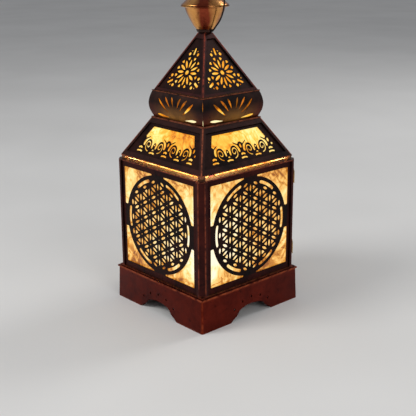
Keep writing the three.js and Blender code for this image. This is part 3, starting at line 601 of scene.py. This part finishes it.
def amber_glass():
    """Hammered amber glass with painted candle light from behind: cream with orange swirls on the walls, golden
    higher up.

    The level says how much painted light a place lets through. It starts as swirls, and each part below adds to it.
    """
    f = Finish("amber_glass", Roughness=0.22, IOR=1.45, Emission_Strength=1.0)
    x, y, z = f.axes()
    marble = f.noise(30, 5, 0.6, 3.2)
    pour = f.noise(15, 2, 0.5, 0.8)
    dimple = f.cells(170, 0.4)
    # painted light: a glow round the flame and a painted glare spot near the front-right corner
    flame_far = f.away(*(c / 1000 for c in FLAME))
    glare_far = f.away(0.063, -0.054, above(54.0))
    to_front = f.along(1, -1, 0)
    upper = f.span(z, above(117.4), above(129.4))
    in_cornice = f.span(z, above(158), above(161))
    in_roof = f.span(z, above(158), above(161), 1, 0)
    low = f.times(f.span(z, above(171), above(177), 0.60, 0), in_cornice)
    outer = f.times(f.span(to_front, 0.018, 0.052, 0.23, -0.05), in_roof)
    wavy = f.plus(z, f.times(f.minus(marble, 0.5), 0.04))
    parts = [
        # painted glow near the flame
        f.span(flame_far, 0.060, 0.135, 0.26, 0),
        # painted glare round a spot low near the front-right corner
        f.plus(f.span(glare_far, 0.006, 0.026, 0.40, 0), f.span(glare_far, 0.014, 0.066, 0.26, 0)),
        # painted light, dimmer in the cornice and brighter in the spire
        f.span(z, above(164), above(168), 0, -0.34),  # cornice
        f.span(z, above(185), above(189), 0, 0.36),  # spire
        # painted glare on the low blades at the front corner, and brighter painted light on the roof
        f.times(low, f.span(to_front, 0.0425, 0.0450)),  # low blades at the front corner
        f.times(upper, 0.17),
        f.times(outer, upper),  # outer ends of the roof's two front panes
        f.times(dimple, -0.13),
        # painted shade at the foot of the walls
        f.span(wavy, above(12), above(30), -0.26, 0),  # foot of the walls
        # painted glare beside the posts
        f.span(f.least(x, y), 0.038, 0.052, 0, 0.09),  # beside the posts
    ]
    for scale, twist, thin, deep in ((13, 3.4, 0.045, -0.20), (27, 2.8, 0.036, -0.12)):
        line = f.absolute(f.minus(f.noise(scale, 3, 0.55, twist), 0.5))
        parts.append(f.span(line, 0, thin, deep, 0))
    level = f.plus(f.times(marble, 0.60), f.times(pour, 0.36))
    for part in parts:
        level = f.plus(level, part)
    wall = f.ramp(level, (0.22, (0.26, 0.075, 0.008)), (0.38, (0.60, 0.24, 0.030)), (0.52, (0.90, 0.50, 0.120)),
                  (0.68, (1.0, 0.74, 0.29)), (0.90, (1.0, 0.96, 0.72)))
    roof = f.ramp(level, (0.08, (0.22, 0.070, 0.004)), (0.26, (0.55, 0.140, 0.006)), (0.44, (0.90, 0.34, 0.018)),
                  (0.60, (1.0, 0.55, 0.060)), (0.80, (1.0, 0.78, 0.22)), (1.0, (1.0, 0.93, 0.52)))
    # emission: painted candle light shining through the glass
    f.link("Emission Color", f.mix(upper, wall, roof))
    f.link("Base Color", f.ramp(level, (0.26, (0.08, 0.024, 0.004)), (0.56, (0.20, 0.080, 0.012)),
                                (0.85, (0.32, 0.20, 0.06))))
    f.bump((dimple, 0.5, 0.8), (marble, 0.30, 0.8))
    return f.mat


def candle_wax():
    """Wax with a painted glow of the flame round the wick."""
    f = Finish("candle_wax", Roughness=0.42, Subsurface_Weight=0.35, Subsurface_Scale=0.006,
               Subsurface_Radius=(1.0, 0.55, 0.3), Emission_Strength=0.6)
    soft = f.noise(70, 3, 0.5)
    f.link("Base Color", f.ramp(soft, (0.3, (0.80, 0.68, 0.48)), (0.7, (0.92, 0.84, 0.68))))
    x, y, _ = f.axes()
    from_wick = f.span(f.maths("SQRT", f.plus(f.times(x, x), f.times(y, y))), 0.001, 0.018)
    # painted glow of the flame, strongest round the wick
    f.link("Emission Color", f.ramp(from_wick, (0.0, (1.0, 0.52, 0.16)), (1.0, (0.30, 0.10, 0.02))))
    f.bump((soft, 0.2, 0.4), (f.noise(320, 2), 0.1, 0.1))
    return f.mat


def burnt_wick():
    """Wick that is charred upward and has an ember at its tip."""
    f = Finish("burnt_wick", Roughness=0.9, Emission_Strength=3.0)
    z = f.axes()[2]
    charred = f.span(z, above(15.4), above(19.4))
    ember = f.span(z, above(19.9), above(21.3))
    f.link("Base Color", f.ramp(charred, (0.0, (0.42, 0.34, 0.24)), (0.6, (0.020, 0.016, 0.014))))
    f.link("Emission Color", f.ramp(ember, (0.0, (0, 0, 0)), (1.0, (1.0, 0.16, 0.02))))
    f.bump((f.noise(900, 2, 0.5, 0, (1, 1, 0.4)), 0.6, 0.2))
    return f.mat


def burning():
    """Flame, blue at its foot."""
    f = Finish("candle_flame", Roughness=0.6, Emission_Strength=14)
    z = f.axes()[2]
    waver = f.times(f.noise(160, 2), 0.12)
    rise = f.plus(f.span(z, above(20.6), above(41.9)), waver)
    f.link("Emission Color", f.ramp(rise, (0.06, (0.16, 0.16, 0.42)), (0.22, (1.0, 0.42, 0.08)),
                                    (0.5, (1.0, 0.78, 0.36)), (1.0, (1.0, 0.50, 0.12))))
    f.link("Base Color", f.ramp(waver, (0.0, (1.0, 0.6, 0.25)), (1.0, (1.0, 0.75, 0.4))))
    return f.mat


glass, wax, wick, flame = amber_glass(), candle_wax(), burnt_wick(), burning()


def add(name, shape, material, body, replaced=(), smooth=None):
    """Adds a piece of the looks: its shape, finish and slot, the body it rides, and the CAD nodes it replaces."""
    verts, faces = shape
    mesh = bpy.data.meshes.new(name)
    mesh.from_pydata([tuple(c / 1000 for c in v) for v in verts], [], [tuple(int(i) for i in f) for f in faces])
    mesh.validate()
    if smooth is not None:
        mesh.polygons.foreach_set("use_smooth", [True] * len(mesh.polygons))
        mesh.set_sharp_from_angle(angle=math.radians(smooth))
    mesh.materials.append(material)
    ob = bpy.data.objects.new(name, mesh)
    bpy.context.scene.collection.objects.link(ob)
    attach(ob, body)
    if replaced:
        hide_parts(*replaced)


# Fretwork of the four walls, drawn from the middle of the disc
BRIDGE_X, BRIDGE_Z = 8.9, 11.8  # half widths of the bridges above and below the disc, and beside it
RING, RING_TURN, RING_HALF = 44.9, 12.2, 1.5  # slots in the disc's rim: radius, half angle, half width
LATTICE = 3  # rings of centres about the middle one
PETAL, RIM_PETAL = (7.2, 2.5), (5.8, 2.6)  # length and width; between two centres of the outer ring it is shorter
EYELET = 0.72  # radius
TRIANGLE = 0.31  # scale of a hole against the triangle between three centres
PANEL_HALF, LEAF_HALF = 59.2, 56.4  # half widths of a fixed panel and of the door's leaf


def spandrel():
    """Opening between the disc and a corner of the window."""
    low = math.degrees(math.asin(BRIDGE_Z / DISC))
    high = math.degrees(math.acos(BRIDGE_X / DISC))
    return [(BRIDGE_X, WIN_Z), *arc(0, 0, DISC, high, low, 24), (WIN_X, BRIDGE_Z), (WIN_X, WIN_Z)]


def disc_holes():
    """Openings of a wall: spandrels, slots in the rim, and eyelets, petals and triangles of overlapping circles."""
    corner_hole = rounded(spandrel(), 0.8)
    holes = [corner_hole, mirror_x(corner_hole), mirror_y(corner_hole), mirror_x(mirror_y(corner_hole))]
    for k in range(6):
        line = arc(0, 0, RING, 60 * k - RING_TURN, 60 * k + RING_TURN, 10)
        holes.append(ribbon(line, lambda t: RING_HALF))
    steps = lambda i, j: max(abs(i), abs(j), abs(i + j))
    column = PITCH * math.cos(math.radians(30))
    at = lambda i, j: (column * i, PITCH * (j + i / 2))
    for i in range(-LATTICE, LATTICE + 1):
        for j in range(-LATTICE, LATTICE + 1):
            if steps(i, j) < LATTICE:
                holes.append(circle(*at(i, j), EYELET, 9))
            for di, dj, turn in ((0, 1, 90), (1, 0, 30), (1, -1, -30)):
                ends = steps(i, j), steps(i + di, j + dj)
                if max(ends) > LATTICE:
                    continue
                (x0, y0), (x1, y1) = at(i, j), at(i + di, j + dj)
                size = RIM_PETAL if min(ends) == LATTICE else PETAL
                holes.append(oval((x0 + x1) / 2, (y0 + y1) / 2, *size, turn, 7, 0.72))
            for third, way in (((i + 1, j - 1), -1), ((i, j + 1), 1)):
                centres = [(i, j), (i + 1, j), third]
                if max(steps(*c) for c in centres) > LATTICE:
                    continue
                points = [at(*c) for c in centres]
                cx, cy = (sum(p[q] for p in points) / 3 for q in (0, 1))
                points = [(cx + (x - cx) * TRIANGLE, cy + (y - cy) * TRIANGLE) for x, y in points]
                holes.append(rounded(points[::way], 1.0))
    return holes


def box_outline(half, low, high):
    return [(-half, low), (half, low), (half, high), (-half, high)]


fret = disc_holes()
outline = box_outline(PANEL_HALF, POST_FOOT - CENTRE, POST_TOP - CENTRE)
for name, k in (("front", 0), ("right", 1), ("left", 3)):
    shape = plate_mesh(outline, fret, THIN, upright(k, PANEL_OUT, CENTRE))
    add(name + "_fretwork", shape, wall_metal, "lantern", [name + "_panel"])
outline = box_outline(LEAF_HALF, POST_FOOT + GAP - CENTRE, POST_TOP - GAP - CENTRE)
shape = plate_mesh(outline, fret, THIN, upright(2, BODY, CENTRE))
add("door_fretwork", shape, wall_metal, "door", ["door_panel"])

# Base: four walls folded at the corners, arched below, with an inner hem on the feet
ARCH_FOOT = 28.2  # half width of an arch at the floor
DOT_BEND, DOT_TOP = 38, 20.8  # radius of the row of small holes, height of its middle
HEM = 61.0  # from the axis to the inner edge of the hem
FOLD_STEPS = 5  # edges that follow half a fold


def skirt_out(z):
    """Half width of the skirt at height z."""
    return SKIRT_FOOT - z / SKIRT_HIGH


arch = smooth_line([(ARCH_FOOT, 0.0), (27.2, 1.2), (25.8, 2.3), (24.0, 3.4), (21.4, 4.7), (19.4, 6.3), (18.2, 8.3),
                    (16.6, 9.9), (13.6, 11.3), (9.4, 12.5), (4.8, 13.2), (0.0, 13.4)], 3)
arch += mirror_x(arch[:-1])
turn_len = FOLD * math.pi / 4
foot_x, top_x = (skirt_out(z) - FOLD + turn_len for z in (0, SKIRT_HIGH))
skirt_outline = [(-foot_x, 0), *reversed(arch), (foot_x, 0), (top_x, SKIRT_HIGH), (-top_x, SKIRT_HIGH)]
skirt_dots = [oval(DOT_BEND * math.sin(a), DOT_TOP - DOT_BEND * (1 - math.cos(a)), 2.9, 1.9, 90, 6, 0.6)
              for a in (math.radians(19 * i) for i in (-2, -1, 0, 1, 2))]
folds = []
for sign in (-1, 1):
    for i in range(FOLD_STEPS):
        rest = turn_len * (1 - i / FOLD_STEPS)
        folds.append(((sign * (foot_x - rest), 0), (sign * (top_x - rest), SKIRT_HIGH)))
parts = [plate_mesh(skirt_outline, skirt_dots, SKIRT_WALL, folded(k, skirt_out, FOLD), folds) for k in range(4)]
inner = SKIRT_FOOT - SKIRT_WALL - 0.02
hem = [(ARCH_FOOT, -inner), (inner - 0.6, -inner), (inner, -inner + 0.6), (inner, -ARCH_FOOT), (HEM, -ARCH_FOOT),
       (HEM, -HEM), (ARCH_FOOT, -HEM)]
for k in range(4):
    go = turn_to(k)
    parts.append(plate_mesh(hem, [], SKIRT_WALL, lambda x, y, d: go(x, y, SKIRT_WALL - d)))
add("base_arcaded_skirt", merged(parts), skirt_metal, "lantern", ["base_skirt"], 30)

# Roof: scroll border under a wide window on each face
ROOF_LEAN = math.atan2(EAVE - ROOF_TOP, ROOF_RISE)
ROOF_SLANT = math.hypot(EAVE - ROOF_TOP, ROOF_RISE)
QUARTER = 9.4  # a quarter of the border's repeat
WINDOW_FOOT = 36.0  # half width of the window over the border
CURL, CURL_HIGH = 0.93, 16.5  # scale and height of a curl


def sloped_outline(half, lean, top):
    """Sheet of a sloped side, from its foot to the height top on the slope, shut against its neighbours."""
    half_at = lambda h: half - math.sin(lean) * h
    deep = FACE_IN + THIN
    inset = deep * math.cos(lean) + SHUT
    foot = (GAP + deep * math.sin(lean)) / math.cos(lean)
    low, high = half_at(foot) - inset, half_at(top) - inset
    return [(-low, foot), (low, foot), (high, top), (-high, top)]


def domed(x, h, wide, high):
    """Low slot with round ends and a slightly raised top edge."""
    reach = wide / 2 - high * 0.45
    line = [(x - reach, h - 0.16 * high), (x, h + 0.10 * high), (x + reach, h - 0.16 * high)]
    return ribbon(smooth_line(line, 3), lambda t: high * 0.42)


def scroll_holes():
    """Openings of a roof face: the window with its crowned lower edge, four curls, and small slots below."""
    leaf = [(0, 25.2), (1.5, 24.8), (2.6, 23.9), (3.2, 22.9), (5.6, 24.2), (8.2, 25.6), (8.5, 25.1), (5.9, 23.2),
            (3.8, 21.8), (3.0, 20.4), (2.3, 18.8), (2.1, 17.2), (2.2, 15.8), (2.9, 15.1), (3.9, 15.0)]
    crown = [(4.7, 15.6), (4.8, 16.8), (5.1, 18.2), (5.7, 19.7), (6.6, 21.1), (7.9, 22.2), (9.4, 22.6), (11.0, 22.4),
             (12.6, 21.5), (13.7, 20.1), (14.3, 18.4), (14.5, 16.6), (14.8, 14.8)]
    bud = [(15.3, 13.6), (16.1, 13.3), (16.8, 13.9), (17.0, 15.6), (17.0, 17.3), (17.5, 18.8), (18.2, 19.6)]
    near_half = leaf + crown + bud
    far_half = [(4 * QUARTER - x, h) for x, h in reversed(near_half) if 4 * QUARTER - x < WINDOW_FOOT]
    run = [*near_half, (2 * QUARTER, 19.8), *far_half, (WINDOW_FOOT, 24.9)]
    top = [(30.5, 35.4), (30.1, 35.7)]
    holes = [mirror_x(run[1:]) + run + top + mirror_x(top)]
    curl = smooth_line([(0.8, -0.5), (0.0, -1.7), (-1.4, -2.4), (-2.8, -1.6), (-3.3, 0.4), (-2.7, 2.2), (-1.2, 3.5),
                        (0.6, 3.7), (2.2, 2.8), (2.9, 1.0), (3.2, -1.2), (2.8, -3.2), (1.6, -5.0), (-0.2, -6.2),
                        (-2.1, -6.9)], 2)
    swelling = lambda t: 0.42 + 0.20 * math.sin(math.pi * min(max(t, 0.05), 0.95))
    for q, face in ((1, -1), (3, 1), (-1, 1), (-3, -1)):
        line = [(q * QUARTER + face * u * CURL, CURL_HIGH + v * CURL) for u, v in curl]
        holes.append(ribbon(line[::face], swelling))
    for q in (0, 4):
        holes.append(oval(q * QUARTER, 20.9, 4.3, 2.6, 90, 7, 0.62))
    holes.append(circle(4 * QUARTER + 3.6, 16.6, 1.2, 10))
    for q in (-2, 2):
        holes.append(circle(q * QUARTER, 17.4, 0.9, 9))
        holes.append(domed(q * QUARTER, 12.1, 2.8, 1.5))
    for q in (-4, 0, 4):
        holes.append(domed(q * QUARTER, 12.8, 5.8, 2.2))
    for q in (-4, -2, 0, 2, 4):
        holes.append(domed(q * QUARTER, 9.0, 8.2, 1.8))
    return holes


sides = ("front", "right", "back", "left")
outline, scrolls = sloped_outline(EAVE, ROOF_LEAN, ROOF_SLANT), scroll_holes()
for k, name in enumerate(sides):
    shape = plate_mesh(outline, scrolls, THIN, leaning(k, EAVE, TRAY_TOP, ROOF_LEAN))
    add("roof_scrollwork_" + name, shape, sheet_metal, "lantern", ["roof_face_" + name])


# Cornice: bulging faces with a fan of eight blades
def cornice_out(z):
    """Half width of the cornice at height z: it widens a little to the top, and bulges in the middle."""
    t = (z - CORNICE_Z) / CORNICE_H
    return CORNICE_HALF + 0.8 * t + 12.8 * t * (1 - t)


def fan_holes():
    """Four blades a side, from a circle about the middle of the foot to tips on an arc; the last one lies low."""
    holes = []
    foot, hub = CORNICE_Z + 0.8, 12.8
    for lean, tip in ((14, (6.5, 21.4)), (35, (15.9, 20.7)), (58, (25.4, 18.4)), (85, (28.4, 2.5))):
        a = math.radians(lean)
        base = (hub * math.sin(a), hub * math.cos(a))
        ahead = 0.5 * math.dist(base, tip)
        bend = (base[0] + ahead * math.sin(a), base[1] + ahead * math.cos(a))
        line = []
        for i in range(9):
            t = i / 8
            x, h = (p * (1 - t) ** 2 + 2 * b * t * (1 - t) + q * t * t for p, b, q in zip(base, bend, tip))
            line.append((x, foot + h))
        half = lambda t: max(0.42 + 0.9 * math.sin(math.pi * t ** 1.3 * 0.86) ** 1.3 - 1.2 * max(t - 0.82, 0), 0.34)
        blade = ribbon(line, half)
        holes += [blade, mirror_x(blade)]
    return holes


def seam(h):
    """Gap at the corners of the cornice: shut but for two slits that let light out."""
    return GAP if h < 6 or 15 < h < 21 else SHUT


heights = [CORNICE_H * i / 12 for i in range(13)]
edge = [(cornice_out(CORNICE_Z + h) - seam(h), CORNICE_Z + h) for h in heights]
rows = [((-w, z), (w, z)) for w, z in edge[1:-1]]
edge = [(edge[0][0], CORNICE_Z - GAP + SHUT), *edge, (edge[-1][0], CORNICE_Z + CORNICE_H + GAP - SHUT)]
outline, fan = edge + mirror_x(edge), fan_holes()
for k, name in enumerate(sides):
    shape = plate_mesh(outline, fan, THIN, bulging(k, cornice_out), rows)
    add("cornice_fan_" + name, shape, cornice_metal, "lantern", ["cornice_face_" + name], 40)

# Solder that shuts the joint between the roof and the cornice's seat
solder = plate_mesh(box_outline(38.5, -38.5, 38.5), [box_outline(37.4, -37.4, 37.4)], GAP - 2 * SHUT,
                    lambda x, y, d: (x, y, TRAY_TOP + ROOF_RISE + GAP - SHUT - d))
add("roof_solder_seam", solder, dark_metal, "lantern")

# Spire: twelve-petalled rosettes
SPIRE_LEAN = math.atan2(SPIRE_HALF - SPIRE_TOP, SPIRE_RISE)
SPIRE_SLANT = math.hypot(SPIRE_HALF - SPIRE_TOP, SPIRE_RISE)
ROSE = 22.7  # height of a rosette's middle on the slope


def polar(r, turn):
    """A point at that distance and angle from the rosette's middle."""
    return r * math.cos(math.radians(turn)), ROSE + r * math.sin(math.radians(turn))


def rosette_holes():
    """Eye, petals and triangles; toward each corner of the face a spear between two pairs of dots."""
    holes = [circle(0, ROSE, 2.3, 18)]
    for k in range(12):
        holes.append(oval(*polar(9.2, 30 * k), 8.8, 2.6, 30 * k, 8, 0.62))
        between = 30 * k + 15
        holes.append(rounded(circle(*polar(14.7, between), 2.6, 3, between + 180), 1.6))
    for turn in (90, 210, 330):
        line = [polar(r, turn) for r in (19.2, 20.5, 22.0, 23.4, 24.5)]
        holes.append(ribbon(line, lambda t: 1.15))
        for sign in (-1, 1):
            holes.append(circle(*polar(19.8, turn + sign * 16.5), 1.65, 12))
            holes.append(circle(*polar(22.6, turn + sign * 9.6), 0.75, 8))
    return holes


outline, rosette = sloped_outline(SPIRE_HALF, SPIRE_LEAN, SPIRE_SLANT - 2.4), rosette_holes()
for k, name in enumerate(sides):
    shape = plate_mesh(outline, rosette, THIN, leaning(k, SPIRE_HALF, SPIRE_Z, SPIRE_LEAN))
    add("spire_rosette_" + name, shape, sheet_metal, "lantern", ["spire_face_" + name])

# Finial
bowl = spun(0, [(9.2, 0), (9.2, 0), (9.9, 0.9), (11.6, 3.2), (14.4, 8.0), (16.8, 12.5), (18.7, 16.8), (19.6, 19.9),
                (20.2, 20.7), (21.4, 20.95), (23.1, 21.1), (23.5, 21.4), (23.5, 22.0), (23.5, 22.0), (18.9, 22.0),
                (18.9, 22.0), (17.8, 17.0), (15.9, 12.9), (13.5, 8.3), (10.7, 3.8), (8.4, 0.9), (8.4, 0.9)], 0.9, 72,
            (0, 0, BOWL))
add("finial_spun_bowl", bowl, spun_metal, "lantern", ["finial_bowl"], 50)
dome_in = [(0, 11.5), (3.4, 11.5), (3.8, 10.2), (7.1, 8.9), (11.7, 7.3), (15.9, 5.0), (18.4, 3.2), (21.5, 0)]
dome_up = smooth_profile([(21.5, 0), (22.9, 0), (22.9, 0), (22.9, 0.6), (22.9, 0.6), (19.0, 4.0), (16.4, 5.9),
                          (12.2, 8.2), (7.6, 9.8), (4.7, 10.9), (4.7, 10.9), (4.2, 12.4), (4.2, 12.4)])
dome = lathe_mesh([*dome_in, *dome_up[1:], (0, 12.4)], 72, (0, 0, DOME))
add("finial_spun_dome", dome, spun_metal, "lantern", ["finial_dome"], 50)
tip_up = smooth_profile([(4.4, 0), (4.7, 0.35), (4.7, 0.7), (2.8, 1.7), (2.8, 1.7), (3.2, 2.3), (4.2, 3.3),
                         (4.5, 4.3), (4.1, 5.8), (2.3, 7.6), (1.1, 9.2), (0.4, 10.2), (0, 10.5)])
tip = lathe_mesh([(0, 0), *tip_up], 40, (0, 0, TIP))
add("finial_turned_tip", tip, spun_metal, "lantern", ["finial_tip"], 50)

# Hanging ring: ends that turn in the collar, shoulders, and an oval over them
BAIL_WIDE, BAIL_HIGH = 27.0, 30.0  # half width of the oval, half its height and the height of its middle
SHOULDER_OUT = 16.4  # where the shoulder meets the oval
shoulder = [(4.4, 0), (6.2, 0), (8.2, 0), (9.6, 0.15), (10.8, 0.6), (12.1, 1.6), (13.4, 3.0), (14.9, 4.5)]
hoop = arc(0, 0, BAIL_WIDE, -math.degrees(math.acos(SHOULDER_OUT / BAIL_WIDE)), 90, 30)
half_bail = shoulder + [(x, BAIL_HIGH + z * BAIL_HIGH / BAIL_WIDE) for x, z in hoop]
right = smooth_line([(x, 0, BAIL_Z + z) for x, z in half_bail], 2)
path = right + [(-x, y, z) for x, y, z in reversed(right[:-1])]
add("bail_hoop", tube_mesh(path, WIRE, 14), wire_metal, "bail", ["bail_ring"], 60)

# Candle in its cup, drawn from the top of the skirt
ON_BASE = (0, 0, SKIRT_HIGH)
cup = spun(2.1, [(19.6, 2.1), (20.4, 2.3), (20.9, 3.0), (21.4, 5.0), (21.8, 5.6), (21.7, 6.15), (21.2, 6.3),
                 (20.7, 5.9), (20.5, 4.8), (20.1, 3.3), (19.5, 2.9)], 2.9, 64, ON_BASE)
add("candle_saucer", cup, brass, "lantern", ["candle_cup"], 50)
can = spun(3.3, [(17.9, 3.3), (18.5, 3.5), (18.8, 4.1), (19.0, 10.4), (19.0, 18.3), (19.1, 18.7), (18.9, 19.0),
                 (18.7, 18.8), (18.6, 18.2), (18.5, 10.4), (18.4, 4.2), (18.1, 3.85)], 3.8, 96, ON_BASE)
add("candle_can", can, can_metal, "tealight", ["tealight_can"], 50)
wax_body = spun(4.1, [(17.6, 4.1), (18.0, 4.5), (18.0, 4.5), (18.0, 15.3), (17.6, 15.5), (16.6, 14.9), (14.0, 14.3),
                      (8.0, 14.1), (3.0, 14.2), (1.4, 14.7), (1.1, 14.6), (1.1, 14.6), (1.1, 10.5)], 10.5, 64,
                ON_BASE)
add("candle_wax", wax_body, wax, "tealight", ["tealight_wax"], 50)
wick_body = spun(10.8, [(0.78, 10.8), (0.8, 13.4), (0.74, 17.4), (0.66, 20.2), (0.45, 21.1), (0.2, 21.3)], 21.3, 16,
                 ON_BASE, per=3)
add("candle_wick", wick_body, wick, "tealight", ["tealight_wick"], 60)
fire = spun(21.5, [(1.0, 21.7), (2.2, 23.0), (3.2, 25.4), (3.5, 28.0), (3.1, 31.2), (2.2, 35.0), (1.2, 38.8),
                   (0.5, 41.4)], 42.6, 32, ON_BASE)
add("candle_flame", fire, flame, "tealight", smooth=60)

# Door knob
knob = spun(0.3, [(1.9, 0.3), (1.9, 0.7), (1.2, 1.1), (1.1, 1.5), (1.1, 2.0), (2.2, 2.7), (2.6, 3.4), (2.4, 4.0),
                  (1.6, 4.4), (0.7, 4.5)], 4.5, 32, (-54.4, BODY, CENTRE), axis="y")
add("door_turned_knob", knob, brass, "door", ["door_knob"], 50)

# Finishes of the CAD nodes that stay
finishes = {
    "base_plate": plate_metal, "body_sill": head_metal, "body_head": head_metal, "eave_tray": tray_metal,
    "roof_frame": hip_metal, "spire_frame": ridge_metal, "cornice_seat": seat_metal, "cornice_cap": seat_metal,
    "neck_collar": dark_metal, "door_frame": dark_metal,
}
for node, ob in nodes.items():
    if ob.hide_render:  # replaced above
        continue
    finish = finishes.get(node)
    if finish is None:
        if "glass" in node and "strip" not in node:
            finish = glass
        elif node.startswith("corner_post"):
            finish = post_metal
        else:
            finish = brass
    if ob.material_slots:
        for held in ob.material_slots:
            held.material = finish
    else:
        ob.data.materials.append(finish)

# Floor, lights and camera
floor_paint = Finish("studio_floor", Roughness=0.62)
floor_paint.link("Base Color", floor_paint.ramp(floor_paint.noise(3, 2), (0.3, (0.70, 0.69, 0.67)),
                                                (0.7, (0.76, 0.75, 0.73))))
mesh = bpy.data.meshes.new("studio_floor")
mesh.from_pydata([(-6, -6, 0), (6, -6, 0), (6, 6, 0), (-6, 6, 0)], [], [(0, 1, 2, 3)])
mesh.materials.append(floor_paint.mat)
floor = bpy.data.objects.new("studio_floor", mesh)
bpy.context.scene.collection.objects.link(floor)

world = bpy.data.worlds.new("studio")
world.use_nodes = True
world.node_tree.nodes["Background"].inputs["Color"].default_value = (0.78, 0.80, 0.84, 1)
world.node_tree.nodes["Background"].inputs["Strength"].default_value = 0.38
bpy.context.scene.world = world


def area(name, at, aim, size, power):
    """Round soft light; places in metres."""
    light = bpy.data.lights.new(name, "AREA")
    light.shape, light.size, light.energy = "DISK", size, power
    ob = bpy.data.objects.new(name, light)
    ob.location = at
    ob.rotation_euler = (Vector(aim) - Vector(at)).to_track_quat("-Z", "Y").to_euler()
    bpy.context.scene.collection.objects.link(ob)


area("key", (-0.5, -1.3, 1.3), (0, 0, 0.15), 0.9, 16)
area("fill", (1.5, -0.3, 0.8), (0, 0, 0.15), 1.0, 8)
area("rim", (0.2, 1.5, 1.3), (0, 0, 0.2), 0.8, 10)
candle = bpy.data.lights.new("candle_glow", "POINT")
candle.energy, candle.color, candle.shadow_soft_size = 2.4, (1.0, 0.86, 0.60), 0.03
glow = bpy.data.objects.new("candle_glow", candle)
glow.location = (0.0, 0.0, above(54.4))
bpy.context.scene.collection.objects.link(glow)

AZ, EL, ROLL = (math.radians(turn) for turn in (47.891, 17.407, -0.388))
AIM, DISTANCE = Vector((0.0010, 0.00111, above(65.0))), 0.8699  # metres
FOCAL, PICTURE = 843.97, 416  # pixels
back = Vector((math.sin(AZ) * math.cos(EL), -math.cos(AZ) * math.cos(EL), math.sin(EL)))
across = Vector((math.cos(AZ), math.sin(AZ), 0))
up = back.cross(across)
across_r = across * math.cos(ROLL) + up * math.sin(ROLL)
up_r = up * math.cos(ROLL) - across * math.sin(ROLL)
lens = bpy.data.cameras.new("photo_camera")
lens.sensor_width = 36
lens.lens = lens.sensor_width * FOCAL / PICTURE
camera = bpy.data.objects.new("photo_camera", lens)
camera.matrix_world = Matrix.Translation(AIM + back * DISTANCE) @ Matrix((across_r, up_r, back)).transposed().to_4x4()
bpy.context.scene.collection.objects.link(camera)
bpy.context.scene.camera = camera
bpy.context.scene.view_settings.view_transform = "Standard"
